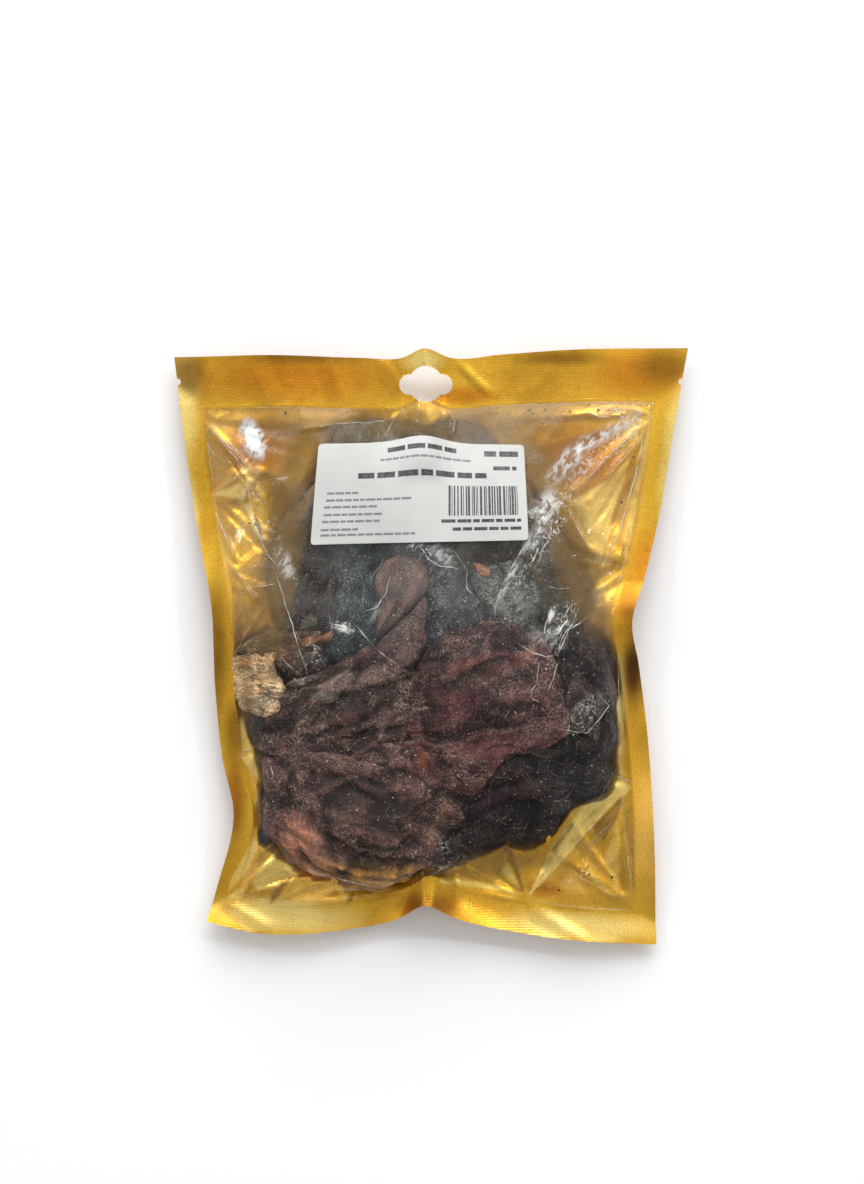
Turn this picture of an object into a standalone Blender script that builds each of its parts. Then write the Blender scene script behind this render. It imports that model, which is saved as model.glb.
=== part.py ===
"""A sealed pouch of dried catfish pieces, lying on its back: gold foil behind, clear film in front, paper label.

The tables and functions below work in millimetres. Meshes are made in metres, +Z up, with +Y towards the
hang hole. The pouch is one closed solid from the outside of the foil to the outside of the film.
"""

import math

import bmesh
import bpy
import numpy as np
from mathutils import Vector
from mathutils.bvhtree import BVHTree

MM = 0.001

# Outer edges of the pouch as (x, y, z) points that a smooth curve passes through, from corner to corner.
LEFT_EDGE = [
    (-109.5, -133.8, 2.5),
    (-104.4, -117.0, 7.0),
    (-95.9, -79.5, 13.0),
    (-101.5, -55.0, 10.0),
    (-104.7, -22.0, 12.0),
    (-106.3, 20.0, 17.0),
    (-114.1, 60.0, 11.0),
    (-121.9, 115.0, 9.0),
    (-125.2, 141.1, 5.5),
]
RIGHT_EDGE = [
    (110.0, -145.4, 3.0),
    (108.6, -95.0, 9.0),
    (105.4, -45.0, 10.0),
    (100.6, -8.0, 13.0),
    (96.8, 12.0, 20.0),
    (103.0, 33.0, 15.0),
    (110.0, 60.0, 11.0),
    (119.7, 116.0, 9.0),
    (125.2, 145.5, 6.0),
]
BOTTOM_EDGE = [
    (-109.5, -133.8, 2.5),
    (-82.5, -139.2, 7.5),
    (-48.0, -138.4, 8.0),
    (-16.0, -132.0, 9.5),
    (-3.0, -124.2, 18.0),
    (11.0, -130.8, 10.5),
    (48.0, -139.6, 7.5),
    (80.0, -143.4, 8.0),
    (110.0, -145.4, 3.0),
]
TOP_EDGE = [
    (-125.2, 141.1, 5.5),
    (-73.0, 141.6, 11.0),
    (-34.0, 140.6, 8.0),
    (-14.0, 140.4, 9.0),
    (-3.2, 144.4, 13.0),
    (9.0, 140.4, 9.5),
    (34.0, 142.2, 8.0),
    (80.0, 144.6, 12.0),
    (125.2, 145.5, 6.0),
]

# Widths of the heat seals, and how thick the two sealed layers are together
SIDE_SEAL = 10.5
BOTTOM_SEAL = 15.0
TOP_SEAL = 25.0
SEAL_THICK = 0.8
POUCH_WIDTH = 236.0
POUCH_HEIGHT = 284.0

# Grid lines across the window between the seals, and across each seal
WINDOW_COLUMNS = 38
WINDOW_ROWS = 42
SIDE_SEAL_CELLS = 2
BOTTOM_SEAL_CELLS = 3
TOP_SEAL_CELLS = 4

# Dried fish pieces under the film: centre x, y, half length, half width, heading in degrees, base z, top z
FISH = {
    "upper_left": (-55.0, 58.0, 52.0, 25.0, 82.0, 0.0, 25.0),
    "upper_mid": (-16.0, 52.0, 58.0, 30.0, 96.0, 0.0, 35.0),
    "upper_right": (36.0, 44.0, 60.0, 30.0, 112.0, 0.0, 33.0),
    "oval": (-13.0, 18.0, 30.0, 15.0, 74.0, 10.0, 41.0),
    "tan_left": (-80.0, -19.0, 21.0, 17.0, 82.0, 2.0, 22.0),
    "left_mid": (-42.0, -27.0, 44.0, 29.0, 18.0, 0.0, 39.0),
    "centre_right": (32.0, -25.0, 50.0, 33.0, 14.0, 0.0, 43.0),
    "right": (72.0, -30.0, 38.0, 19.0, 98.0, 0.0, 34.0),
    "lower_right": (53.0, -70.0, 42.0, 28.0, 22.0, 0.0, 35.0),
    "lower_left": (-38.0, -80.0, 48.0, 35.0, -22.0, 0.0, 40.0),
    "lower_mid": (10.0, -90.0, 36.0, 22.0, 8.0, 0.0, 31.0),
}
PIECE_SQUARENESS = 2.5
DRAPE_PASSES = 500
# Share of a piece's height at which its flank turns under, and the share of its radius that lies flat
FLANK_HEIGHT = 0.45
FLAT_SHARE = 0.6

# Folds pressed into the film where it leaves the seals: start x, y, end x, y, height, half width
FILM_FOLDS = [
    (-3.0, -112.0, 4.0, -88.0, 6.0, 9.0),
    (2.0, -116.0, 36.0, -104.0, 3.5, 7.0),
    (88.0, -52.0, 96.0, -84.0, 4.0, 8.0),
    (30.0, -126.0, 70.0, -80.0, 5.0, 8.0),
    (112.0, 108.0, 70.0, 72.0, 4.5, 8.0),
    (-92.0, 54.0, -80.0, 8.0, 4.0, 7.0),
    (-112.0, 112.0, -78.0, 84.0, 4.0, 8.0),
    (-98.0, -122.0, -66.0, -92.0, 4.5, 8.0),
    (-3.0, 112.0, -4.0, 82.0, 5.0, 13.0),
]

# Hang hole: a slot with round ends and a larger round middle
HOLE_X = -2.6
HOLE_Y = 127.4
SLOT_LENGTH = 26.0
SLOT_WIDTH = 10.0
HOLE_RADIUS = 8.7
HOLE_POINTS = 40
NOTCH_RADIUS = 1.7
NOTCH_Y = 129.0
NOTCH_POINTS = 12
CUTTER_HEIGHT = 80.0

# Paper label on the film, as its corners in plan from the lower left, going round
LABEL_CORNERS = [(-57.8, 49.2), (46.4, 51.4), (44.6, 97.6), (-54.2, 98.2)]
LABEL_THICK = 0.3
LABEL_GAP = 0.45
LABEL_COLUMNS = 20
LABEL_ROWS = 10
LABEL_CORNER = 2.0
LABEL_FINENESS = 4
LABEL_LIFTS = 3
# The film's fold lifts the middle of the label's upper edge
LABEL_RISE = 3.6
LABEL_RISE_X = -4.0
LABEL_RISE_HALF = 14.0


def clear_scene():
    for thing in list(bpy.data.objects):
        bpy.data.objects.remove(thing)


def material(name, colour, roughness, metallic):
    made = bpy.data.materials.new(name)
    made.use_nodes = True
    shader = made.node_tree.nodes["Principled BSDF"]
    shader.inputs["Base Color"].default_value = (*colour, 1.0)
    shader.inputs["Roughness"].default_value = roughness
    shader.inputs["Metallic"].default_value = metallic
    return made


def smooth_curve(points, share):
    """Points at the given shares of the way along a Catmull-Rom curve through the control points."""
    points = np.array(points, float)
    chords = np.linalg.norm(np.diff(points[:, :2], axis=0), axis=1)
    knots = np.concatenate([[0.0], np.cumsum(chords)]) / chords.sum()
    slopes = np.gradient(points, knots, axis=0)
    at = np.clip(np.searchsorted(knots, share, side="right") - 1, 0, len(knots) - 2)
    width = (knots[at + 1] - knots[at])[:, None]
    t = (np.asarray(share) - knots[at])[:, None] / width
    start = (2 * t**3 - 3 * t**2 + 1) * points[at] + (t**3 - 2 * t**2 + t) * width * slopes[at]
    end = (3 * t**2 - 2 * t**3) * points[at + 1] + (t**3 - t**2) * width * slopes[at + 1]
    return start + end


def grid_shares(low_seal, high_seal, length, low_cells, window_cells, high_cells):
    """Shares of the way across the pouch at which grid lines run, with lines on both seals' inner edges."""
    low, high = low_seal / length, 1 - high_seal / length
    return np.concatenate(
        [
            np.linspace(0, low, low_cells + 1)[:-1],
            np.linspace(low, high, window_cells + 1)[:-1],
            np.linspace(high, 1, high_cells + 1),
        ]
    )


def seal_surface(across, along):
    """The surface that the four edges span, as an array of points indexed by column and row."""
    u, v = across[:, None, None], along[None, :, None]
    left, right = smooth_curve(LEFT_EDGE, along)[None], smooth_curve(RIGHT_EDGE, along)[None]
    bottom, top = smooth_curve(BOTTOM_EDGE, across)[:, None], smooth_curve(TOP_EDGE, across)[:, None]
    corners = (
        (1 - u) * (1 - v) * bottom[:1]
        + u * (1 - v) * bottom[-1:]
        + (1 - u) * v * top[:1]
        + u * v * top[-1:]
    )
    return (1 - u) * left + u * right + (1 - v) * bottom + v * top - corners


def piece_radius(piece, x, y):
    """How far out on the piece each point lies in plan: 0 at its centre and 1 on its rim."""
    centre_x, centre_y, half_length, half_width, heading, _, _ = piece
    turn = math.radians(heading)
    along = (x - centre_x) * math.cos(turn) + (y - centre_y) * math.sin(turn)
    aside = (y - centre_y) * math.cos(turn) - (x - centre_x) * math.sin(turn)
    power = PIECE_SQUARENESS
    return (np.abs(along / half_length) ** power + np.abs(aside / half_width) ** power) ** (1 / power)


def fish_top(x, y):
    """Height of the pile's upper side, and minus infinity beside it."""
    highest = np.full(x.shape, -np.inf)
    for piece in FISH.values():
        base, top = piece[5:]
        radius = piece_radius(piece, x, y)
        flank = base + FLANK_HEIGHT * (top - base)
        dome = flank + (top - flank) * np.sqrt(np.clip(1 - radius**2, 0, None))
        highest = np.where(radius < 1, np.maximum(highest, dome), highest)
    return highest


def fish_bottom(x, y):
    """Height of the pile's underside, and infinity beside it."""
    lowest = np.full(x.shape, np.inf)
    for piece in FISH.values():
        base, top = piece[5:]
        radius = piece_radius(piece, x, y)
        turned = np.clip((radius - FLAT_SHARE) / (1 - FLAT_SHARE), 0, 1)
        under = base + FLANK_HEIGHT * (top - base) * (1 - np.sqrt(1 - turned**2))
        lowest = np.where(radius < 1, np.minimum(lowest, under), lowest)
    return lowest


def window_slice(across, along):
    """Index ranges of the grid points strictly inside the seals."""
    columns = slice(SIDE_SEAL_CELLS + 1, len(across) - 1 - SIDE_SEAL_CELLS)
    rows = slice(BOTTOM_SEAL_CELLS + 1, len(along) - 1 - TOP_SEAL_CELLS)
    return columns, rows


def draped(height, window, keep):
    """Relaxes a height field inside the window like a stretched film; keep holds it against the fish."""
    height = height.copy()
    columns, rows = window
    for _ in range(DRAPE_PASSES):
        mean = (height[:-2, 1:-1] + height[2:, 1:-1] + height[1:-1, :-2] + height[1:-1, 2:]) / 4
        inner = mean[columns.start - 1 : columns.stop - 1, rows.start - 1 : rows.stop - 1]
        height[columns, rows] = keep(inner)
    return height


def fold_height(x, y):
    """Height that the pressed folds add to the film: tents that run out at both ends."""
    total = np.zeros(x.shape)
    for start_x, start_y, end_x, end_y, height, half in FILM_FOLDS:
        run = np.array([end_x - start_x, end_y - start_y])
        length = np.linalg.norm(run)
        share = ((x - start_x) * run[0] + (y - start_y) * run[1]) / length**2
        aside = np.abs((x - start_x) * run[1] - (y - start_y) * run[0]) / length
        ends = np.clip(1 - np.abs(2 * share - 1) ** 3, 0, 1)
        total += height * ends * np.clip(1 - aside / half, 0, 1)
    return total


def pouch_faces(columns, rows):
    """Triangles of a closed two-sided grid: the upper side, the lower side split alike, and the rim between."""

    def upper(i, j):
        return i * rows + j

    def lower(i, j):
        return columns * rows + i * rows + j

    faces = []
    for i in range(columns - 1):
        for j in range(rows - 1):
            ring = [(i, j), (i + 1, j), (i + 1, j + 1), (i, j + 1)]
            if (i + j) % 2:
                ring = ring[1:] + ring[:1]
            for a, b, c in ((0, 1, 2), (0, 2, 3)):
                faces.append((upper(*ring[a]), upper(*ring[b]), upper(*ring[c])))
                faces.append((lower(*ring[a]), lower(*ring[c]), lower(*ring[b])))
    rim = [(i, 0) for i in range(columns - 1)]
    rim += [(columns - 1, j) for j in range(rows - 1)]
    rim += [(i, rows - 1) for i in range(columns - 1, 0, -1)]
    rim += [(0, j) for j in range(rows - 1, 0, -1)]
    for here, after in zip(rim, rim[1:] + rim[:1]):
        faces.append((upper(*here), lower(*here), lower(*after)))
        faces.append((upper(*here), lower(*after), upper(*after)))
    return faces


def two_sided_mesh(name, upper, lower):
    """A closed mesh from two grids of points in millimetres, indexed by column and row."""
    columns, rows = upper.shape[:2]
    points = np.concatenate([upper.reshape(-1, 3), lower.reshape(-1, 3)]) * MM
    mesh = bpy.data.meshes.new(name)
    mesh.from_pydata(points.tolist(), [], pouch_faces(columns, rows))
    mesh.shade_smooth()
    mesh.set_sharp_from_angle(angle=math.radians(50))
    return mesh


def pouch_surfaces():
    """The outside of the film and the outside of the foil, as two grids of points."""
    across = grid_shares(
        SIDE_SEAL, SIDE_SEAL, POUCH_WIDTH, SIDE_SEAL_CELLS, WINDOW_COLUMNS, SIDE_SEAL_CELLS
    )
    along = grid_shares(
        BOTTOM_SEAL, TOP_SEAL, POUCH_HEIGHT, BOTTOM_SEAL_CELLS, WINDOW_ROWS, TOP_SEAL_CELLS
    )
    middle = seal_surface(across, along)
    x, y, seal_z = middle[..., 0], middle[..., 1], middle[..., 2]
    window = window_slice(across, along)
    inner = (window[0], window[1])
    top_limit = fish_top(x, y)[inner]
    under_limit = fish_bottom(x, y)[inner]
    film = draped(seal_z + SEAL_THICK / 2, window, lambda mean: np.maximum(mean, top_limit))
    foil = draped(seal_z - SEAL_THICK / 2, window, lambda mean: np.minimum(mean, under_limit))
    film[inner] += fold_height(x, y)[inner]
    foil = np.maximum(foil, 0.0)
    film = np.maximum(film, foil + SEAL_THICK)
    return np.dstack([x, y, film]), np.dstack([x, y, foil])


def hole_outline():
    """The hang hole's outline: from its centre, each ray ends on the slot or on the round middle."""
    half_straight = (SLOT_LENGTH - SLOT_WIDTH) / 2
    outline = []
    for n in range(HOLE_POINTS):
        angle = 2 * math.pi * n / HOLE_POINTS
        run_x, run_y = abs(math.cos(angle)), abs(math.sin(angle))
        reach = SLOT_WIDTH / 2 / max(run_y, 1e-9)
        if reach * run_x > half_straight:
            reach = half_straight * run_x + math.sqrt(
                (SLOT_WIDTH / 2) ** 2 - (half_straight * run_y) ** 2
            )
        reach = max(reach, HOLE_RADIUS)
        outline.append((HOLE_X + reach * math.cos(angle), HOLE_Y + reach * math.sin(angle)))
    return outline


def round_outline(centre_x, centre_y, radius, points):
    return [
        (
            centre_x + radius * math.cos(2 * math.pi * n / points),
            centre_y + radius * math.sin(2 * math.pi * n / points),
        )
        for n in range(points)
    ]


def cutter(name, outline):
    """An upright prism on the outline, tall enough to pass through the seals."""
    shape = bmesh.new()
    ring = [shape.verts.new((x * MM, y * MM, -CUTTER_HEIGHT / 2 * MM)) for x, y in outline]
    face = shape.faces.new(ring)
    grown = bmesh.ops.extrude_face_region(shape, geom=[face])
    lifted = [v for v in grown["geom"] if isinstance(v, bmesh.types.BMVert)]
    bmesh.ops.translate(shape, verts=lifted, vec=Vector((0, 0, CUTTER_HEIGHT * MM)))
    bmesh.ops.recalc_face_normals(shape, faces=shape.faces)
    mesh = bpy.data.meshes.new(name)
    shape.to_mesh(mesh)
    shape.free()
    made = bpy.data.objects.new(name, mesh)
    made.hide_render = True
    made.display_type = "WIRE"
    bpy.context.scene.collection.objects.link(made)
    return made


def cut(target, tool):
    modifier = target.modifiers.new(tool.name, "BOOLEAN")
    modifier.operation = "DIFFERENCE"
    modifier.solver = "EXACT"
    modifier.object = tool


def edge_x(edge, y):
    """x of a side edge at height y in plan."""
    line = smooth_curve(edge, np.linspace(0, 1, 400))
    return float(np.interp(y, line[:, 1], line[:, 0]))


def make_pouch():
    film, foil = pouch_surfaces()
    pouch = bpy.data.objects.new("pouch", two_sided_mesh("pouch", film, foil))
    bpy.context.scene.collection.objects.link(pouch)
    pouch.data.materials.append(material("gold_foil", (0.72, 0.45, 0.09), 0.32, 1.0))
    cut(pouch, cutter("hang_hole_cutter", hole_outline()))
    for side, edge in (("left", LEFT_EDGE), ("right", RIGHT_EDGE)):
        place = round_outline(edge_x(edge, NOTCH_Y), NOTCH_Y, NOTCH_RADIUS, NOTCH_POINTS)
        cut(pouch, cutter(f"{side}_notch_cutter", place))
    return pouch, film


def label_plan(fineness):
    """Plan positions on the label, fineness times its own grid, with the upper edge lifted by the film's fold."""
    lower_left, lower_right, upper_right, upper_left = (np.array(c) for c in LABEL_CORNERS)
    u = np.linspace(0, 1, LABEL_COLUMNS * fineness + 1)[:, None, None]
    v = np.linspace(0, 1, LABEL_ROWS * fineness + 1)[None, :, None]
    plan = (1 - v) * ((1 - u) * lower_left + u * lower_right) + v * ((1 - u) * upper_left + u * upper_right)
    rise = np.exp(-(((plan[..., 0] - LABEL_RISE_X) / LABEL_RISE_HALF) ** 2))
    plan[..., 1] += LABEL_RISE * rise * v[..., 0] ** 2
    pull = LABEL_CORNER * (1 - math.sqrt(0.5))
    for column, across in ((0, 1), (-1, -1)):
        for row, along in ((0, 1), (-1, -1)):
            plan[column, row] += (pull * across, pull * along)
    return plan


def refined(grid, fineness):
    """Values of a grid on a finer grid, by linear steps between its points."""
    columns = np.arange(grid.shape[0] * fineness - fineness + 1) / fineness
    rows = np.arange(grid.shape[1] * fineness - fineness + 1) / fineness
    wide = np.array([np.interp(columns, np.arange(grid.shape[0]), line) for line in grid.T]).T
    return np.array([np.interp(rows, np.arange(grid.shape[1]), line) for line in wide])


def lifted_clear(height, ground, fineness):
    """Raises grid points until the sheet that they span lies above the finer ground heights."""
    height = height.copy()
    for _ in range(LABEL_LIFTS):
        short = np.clip(ground - refined(height, fineness), 0, None)
        for i in range(height.shape[0]):
            for j in range(height.shape[1]):
                low_i, low_j = max(0, (i - 1) * fineness + 1), max(0, (j - 1) * fineness + 1)
                near = short[low_i : (i + 1) * fineness, low_j : (j + 1) * fineness]
                height[i, j] += near.max()
    return height


def film_heights(film, plan):
    """Height of the film straight below each plan position, in millimetres."""
    columns, rows = film.shape[:2]
    upper_faces = pouch_faces(columns, rows)[: 4 * (columns - 1) * (rows - 1) : 2]
    tree = BVHTree.FromPolygons([Vector(p) for p in film.reshape(-1, 3).tolist()], upper_faces)
    down = Vector((0, 0, -1))
    return np.array(
        [[tree.ray_cast(Vector((x, y, CUTTER_HEIGHT)), down)[0].z for x, y in line] for line in plan]
    )


def make_label(film):
    """The label lies on the film with a hair's gap, and bends with it."""
    fine_plan = label_plan(LABEL_FINENESS)
    ground = film_heights(film, fine_plan) + LABEL_GAP
    plan = label_plan(1)
    height = lifted_clear(
        ground[::LABEL_FINENESS, ::LABEL_FINENESS], ground, LABEL_FINENESS
    )
    under = np.dstack([plan, height])
    over = np.dstack([plan, height + LABEL_THICK])
    label = bpy.data.objects.new("label", two_sided_mesh("label", over, under))
    bpy.context.scene.collection.objects.link(label)
    label.data.materials.append(material("label_paper", (0.72, 0.72, 0.71), 0.5, 0.0))
    return label


def main():
    clear_scene()
    _, film = make_pouch()
    make_label(film)


main()
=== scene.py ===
"""Looks of a sealed pouch of dried catfish: gold foil, clear film, dried fish pieces and a paper label.

Tables and heights are in millimetres, with +Y towards the hang hole; meshes are made in metres. The edges,
the seals and the label repeat the part's own sizes. The heights of the film, the foil and the label are read
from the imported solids.
"""

import math
from collections import namedtuple

import bmesh
import bpy
import numpy as np
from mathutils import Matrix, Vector, noise
from mathutils.bvhtree import BVHTree
from mathutils.geometry import delaunay_2d_cdt


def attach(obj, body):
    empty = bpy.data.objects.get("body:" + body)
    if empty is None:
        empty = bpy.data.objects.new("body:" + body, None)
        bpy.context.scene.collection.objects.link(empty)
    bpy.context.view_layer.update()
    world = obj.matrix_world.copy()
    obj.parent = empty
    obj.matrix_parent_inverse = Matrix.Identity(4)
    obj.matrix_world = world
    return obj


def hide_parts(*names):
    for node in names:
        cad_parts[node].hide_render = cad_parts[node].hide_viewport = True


MM = 0.001
BODY = "root"
CAST_HEIGHT = 200.0
SHARP_ANGLE = math.radians(55)

# Outer edges of the pouch as (x, y, z) points that a smooth curve passes through, from corner to corner
LEFT_EDGE = [
    (-109.5, -133.8, 2.5), (-104.4, -117.0, 7.0), (-95.9, -79.5, 13.0), (-101.5, -55.0, 10.0),
    (-104.7, -22.0, 12.0), (-106.3, 20.0, 17.0), (-114.1, 60.0, 11.0), (-121.9, 115.0, 9.0),
    (-125.2, 141.1, 5.5),
]
RIGHT_EDGE = [
    (110.0, -145.4, 3.0), (108.6, -95.0, 9.0), (105.4, -45.0, 10.0), (100.6, -8.0, 13.0),
    (96.8, 12.0, 20.0), (103.0, 33.0, 15.0), (110.0, 60.0, 11.0), (119.7, 116.0, 9.0),
    (125.2, 145.5, 6.0),
]
BOTTOM_EDGE = [
    (-109.5, -133.8, 2.5), (-82.5, -139.2, 7.5), (-48.0, -138.4, 8.0), (-16.0, -132.0, 9.5),
    (-3.0, -124.2, 18.0), (11.0, -130.8, 10.5), (48.0, -139.6, 7.5), (80.0, -143.4, 8.0),
    (110.0, -145.4, 3.0),
]
TOP_EDGE = [
    (-125.2, 141.1, 5.5), (-73.0, 141.6, 11.0), (-34.0, 140.6, 8.0), (-14.0, 140.4, 9.0),
    (-3.2, 144.4, 13.0), (9.0, 140.4, 9.5), (34.0, 142.2, 8.0), (80.0, 144.6, 12.0),
    (125.2, 145.5, 6.0),
]
SIDE_SEAL = 10.5
BOTTOM_SEAL = 15.0
TOP_SEAL = 25.0
POUCH_WIDTH = 236.0
POUCH_HEIGHT = 284.0

# Hang hole, tear notches, and the wider seal under the hole
HOLE_X = -2.6
HOLE_Y = 127.4
SLOT_LENGTH = 26.0
SLOT_WIDTH = 10.0
HOLE_RADIUS = 8.7
NOTCH_RADIUS = 1.7
NOTCH_Y = 129.0
PATCH_Y = 119.0
PATCH_HALF_WIDTH = 14.0
PATCH_REACH = 14.0
CUTTER_REACH = 40.0

# Grid cells of the sheets, across the seals and the window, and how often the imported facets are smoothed
SIDE_CELLS = 8
WINDOW_COLUMNS = 190
BOTTOM_CELLS = 12
WINDOW_ROWS = 208
TOP_CELLS = 20
TUCK_CELLS = 2
SMOOTH_PASSES = 36

# How far the outer edges of the seals curl up, how uneven that is and over what length, height and length of
# the seals' waves, and what share of the way the loose foil beside the fish rises to the seals
BOTTOM_CURL = 5.5
TOP_CURL = 3.5
SIDE_CURL = 1.2
CURL_UNEVEN = 0.9
CURL_LENGTH = 34.0
WAVE_RISE = 0.6
WAVE_LENGTH = 26.0
FOIL_LIFT = 0.6

# Distances below the top seal between which the grease on the foil fades out, and distance from the seals
# over which its crumples come in
GREASE_FADE = (5.0, 9.0)
CRUMPLE_MARGIN = 9.0

# Thicknesses and clearances
SEAL_THICK = 0.45
FOIL_THICK = 0.12
FILM_THICK = 0.08
FILM_GAP = 0.4
FISH_GAP = 0.35

# Label: corners in plan from the lower left, going round, its width below and its height at the left, the
# radius of its corners, and the lift in the middle of its upper edge. Then its grid, and how often that is
# smoothed.
LABEL_CORNERS = [(-57.8, 49.2), (46.4, 51.4), (44.6, 97.6), (-54.2, 98.2)]
LABEL_WIDTH = LABEL_CORNERS[1][0] - LABEL_CORNERS[0][0]
LABEL_HEIGHT = LABEL_CORNERS[3][1] - LABEL_CORNERS[0][1]
LABEL_CORNER = 2.0
LABEL_RISE = 3.6
LABEL_RISE_X = -4.0
LABEL_RISE_HALF = 14.0
LABEL_THICK = 0.15
LABEL_COLUMNS = 104
LABEL_ROWS = 46
LABEL_SMOOTH_PASSES = 12

# Creases that fan out over the film and the foil from points on the seals:
# x, y, first and last direction in degrees, number of creases, reach, height
FANS = [
    (111.9, 113.0, 180.0, 278.0, 5, 85.0, 1.1),
    (-111.0, 110.0, 262.0, 358.0, 4, 62.0, 1.3),
    (-107.5, 74.0, 285.0, 405.0, 4, 50.0, 1.2),
    (-98.5, 37.0, 290.0, 420.0, 4, 30.0, 0.9),
    (101.0, 38.8, 140.0, 245.0, 4, 46.0, 1.2),
    (98.0, -67.0, 120.0, 262.0, 4, 52.0, 1.4),
    (46.4, -125.0, 18.0, 162.0, 3, 66.0, 2.0),
    (-100.0, -122.0, 0.0, 88.0, 3, 60.0, 1.6),
    (-78.7, -126.0, 35.0, 140.0, 3, 30.0, 1.0),
    (-8.0, -119.0, 95.0, 185.0, 3, 44.0, 1.2),
    (97.4, -124.0, 92.0, 176.0, 3, 58.0, 1.6),
    (-42.0, -125.0, 55.0, 125.0, 3, 26.0, 1.0),
    (-2.6, 119.0, 220.0, 320.0, 4, 30.0, 0.8),
]

# Straight folds in the seals: start x, y, end x, y, height, half width
SEAL_FOLDS = [
    (-24.0, 141.0, -15.0, 124.0, 1.2, 5.0),
    (-5.0, 146.0, -3.0, 134.0, 1.0, 2.5),
    (12.0, 139.0, 30.0, 122.0, 0.8, 3.0),
    (66.0, 144.0, 44.0, 118.0, 1.0, 8.0),
    (-90.0, 142.0, -78.0, 117.0, 1.0, 9.0),
    (-50.0, 141.0, -42.0, 117.0, 0.8, 8.0),
    (46.0, -126.0, 78.0, -144.0, 0.9, 5.0),
    (-104.0, -122.0, -74.0, -139.0, 0.9, 5.0),
]

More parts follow.
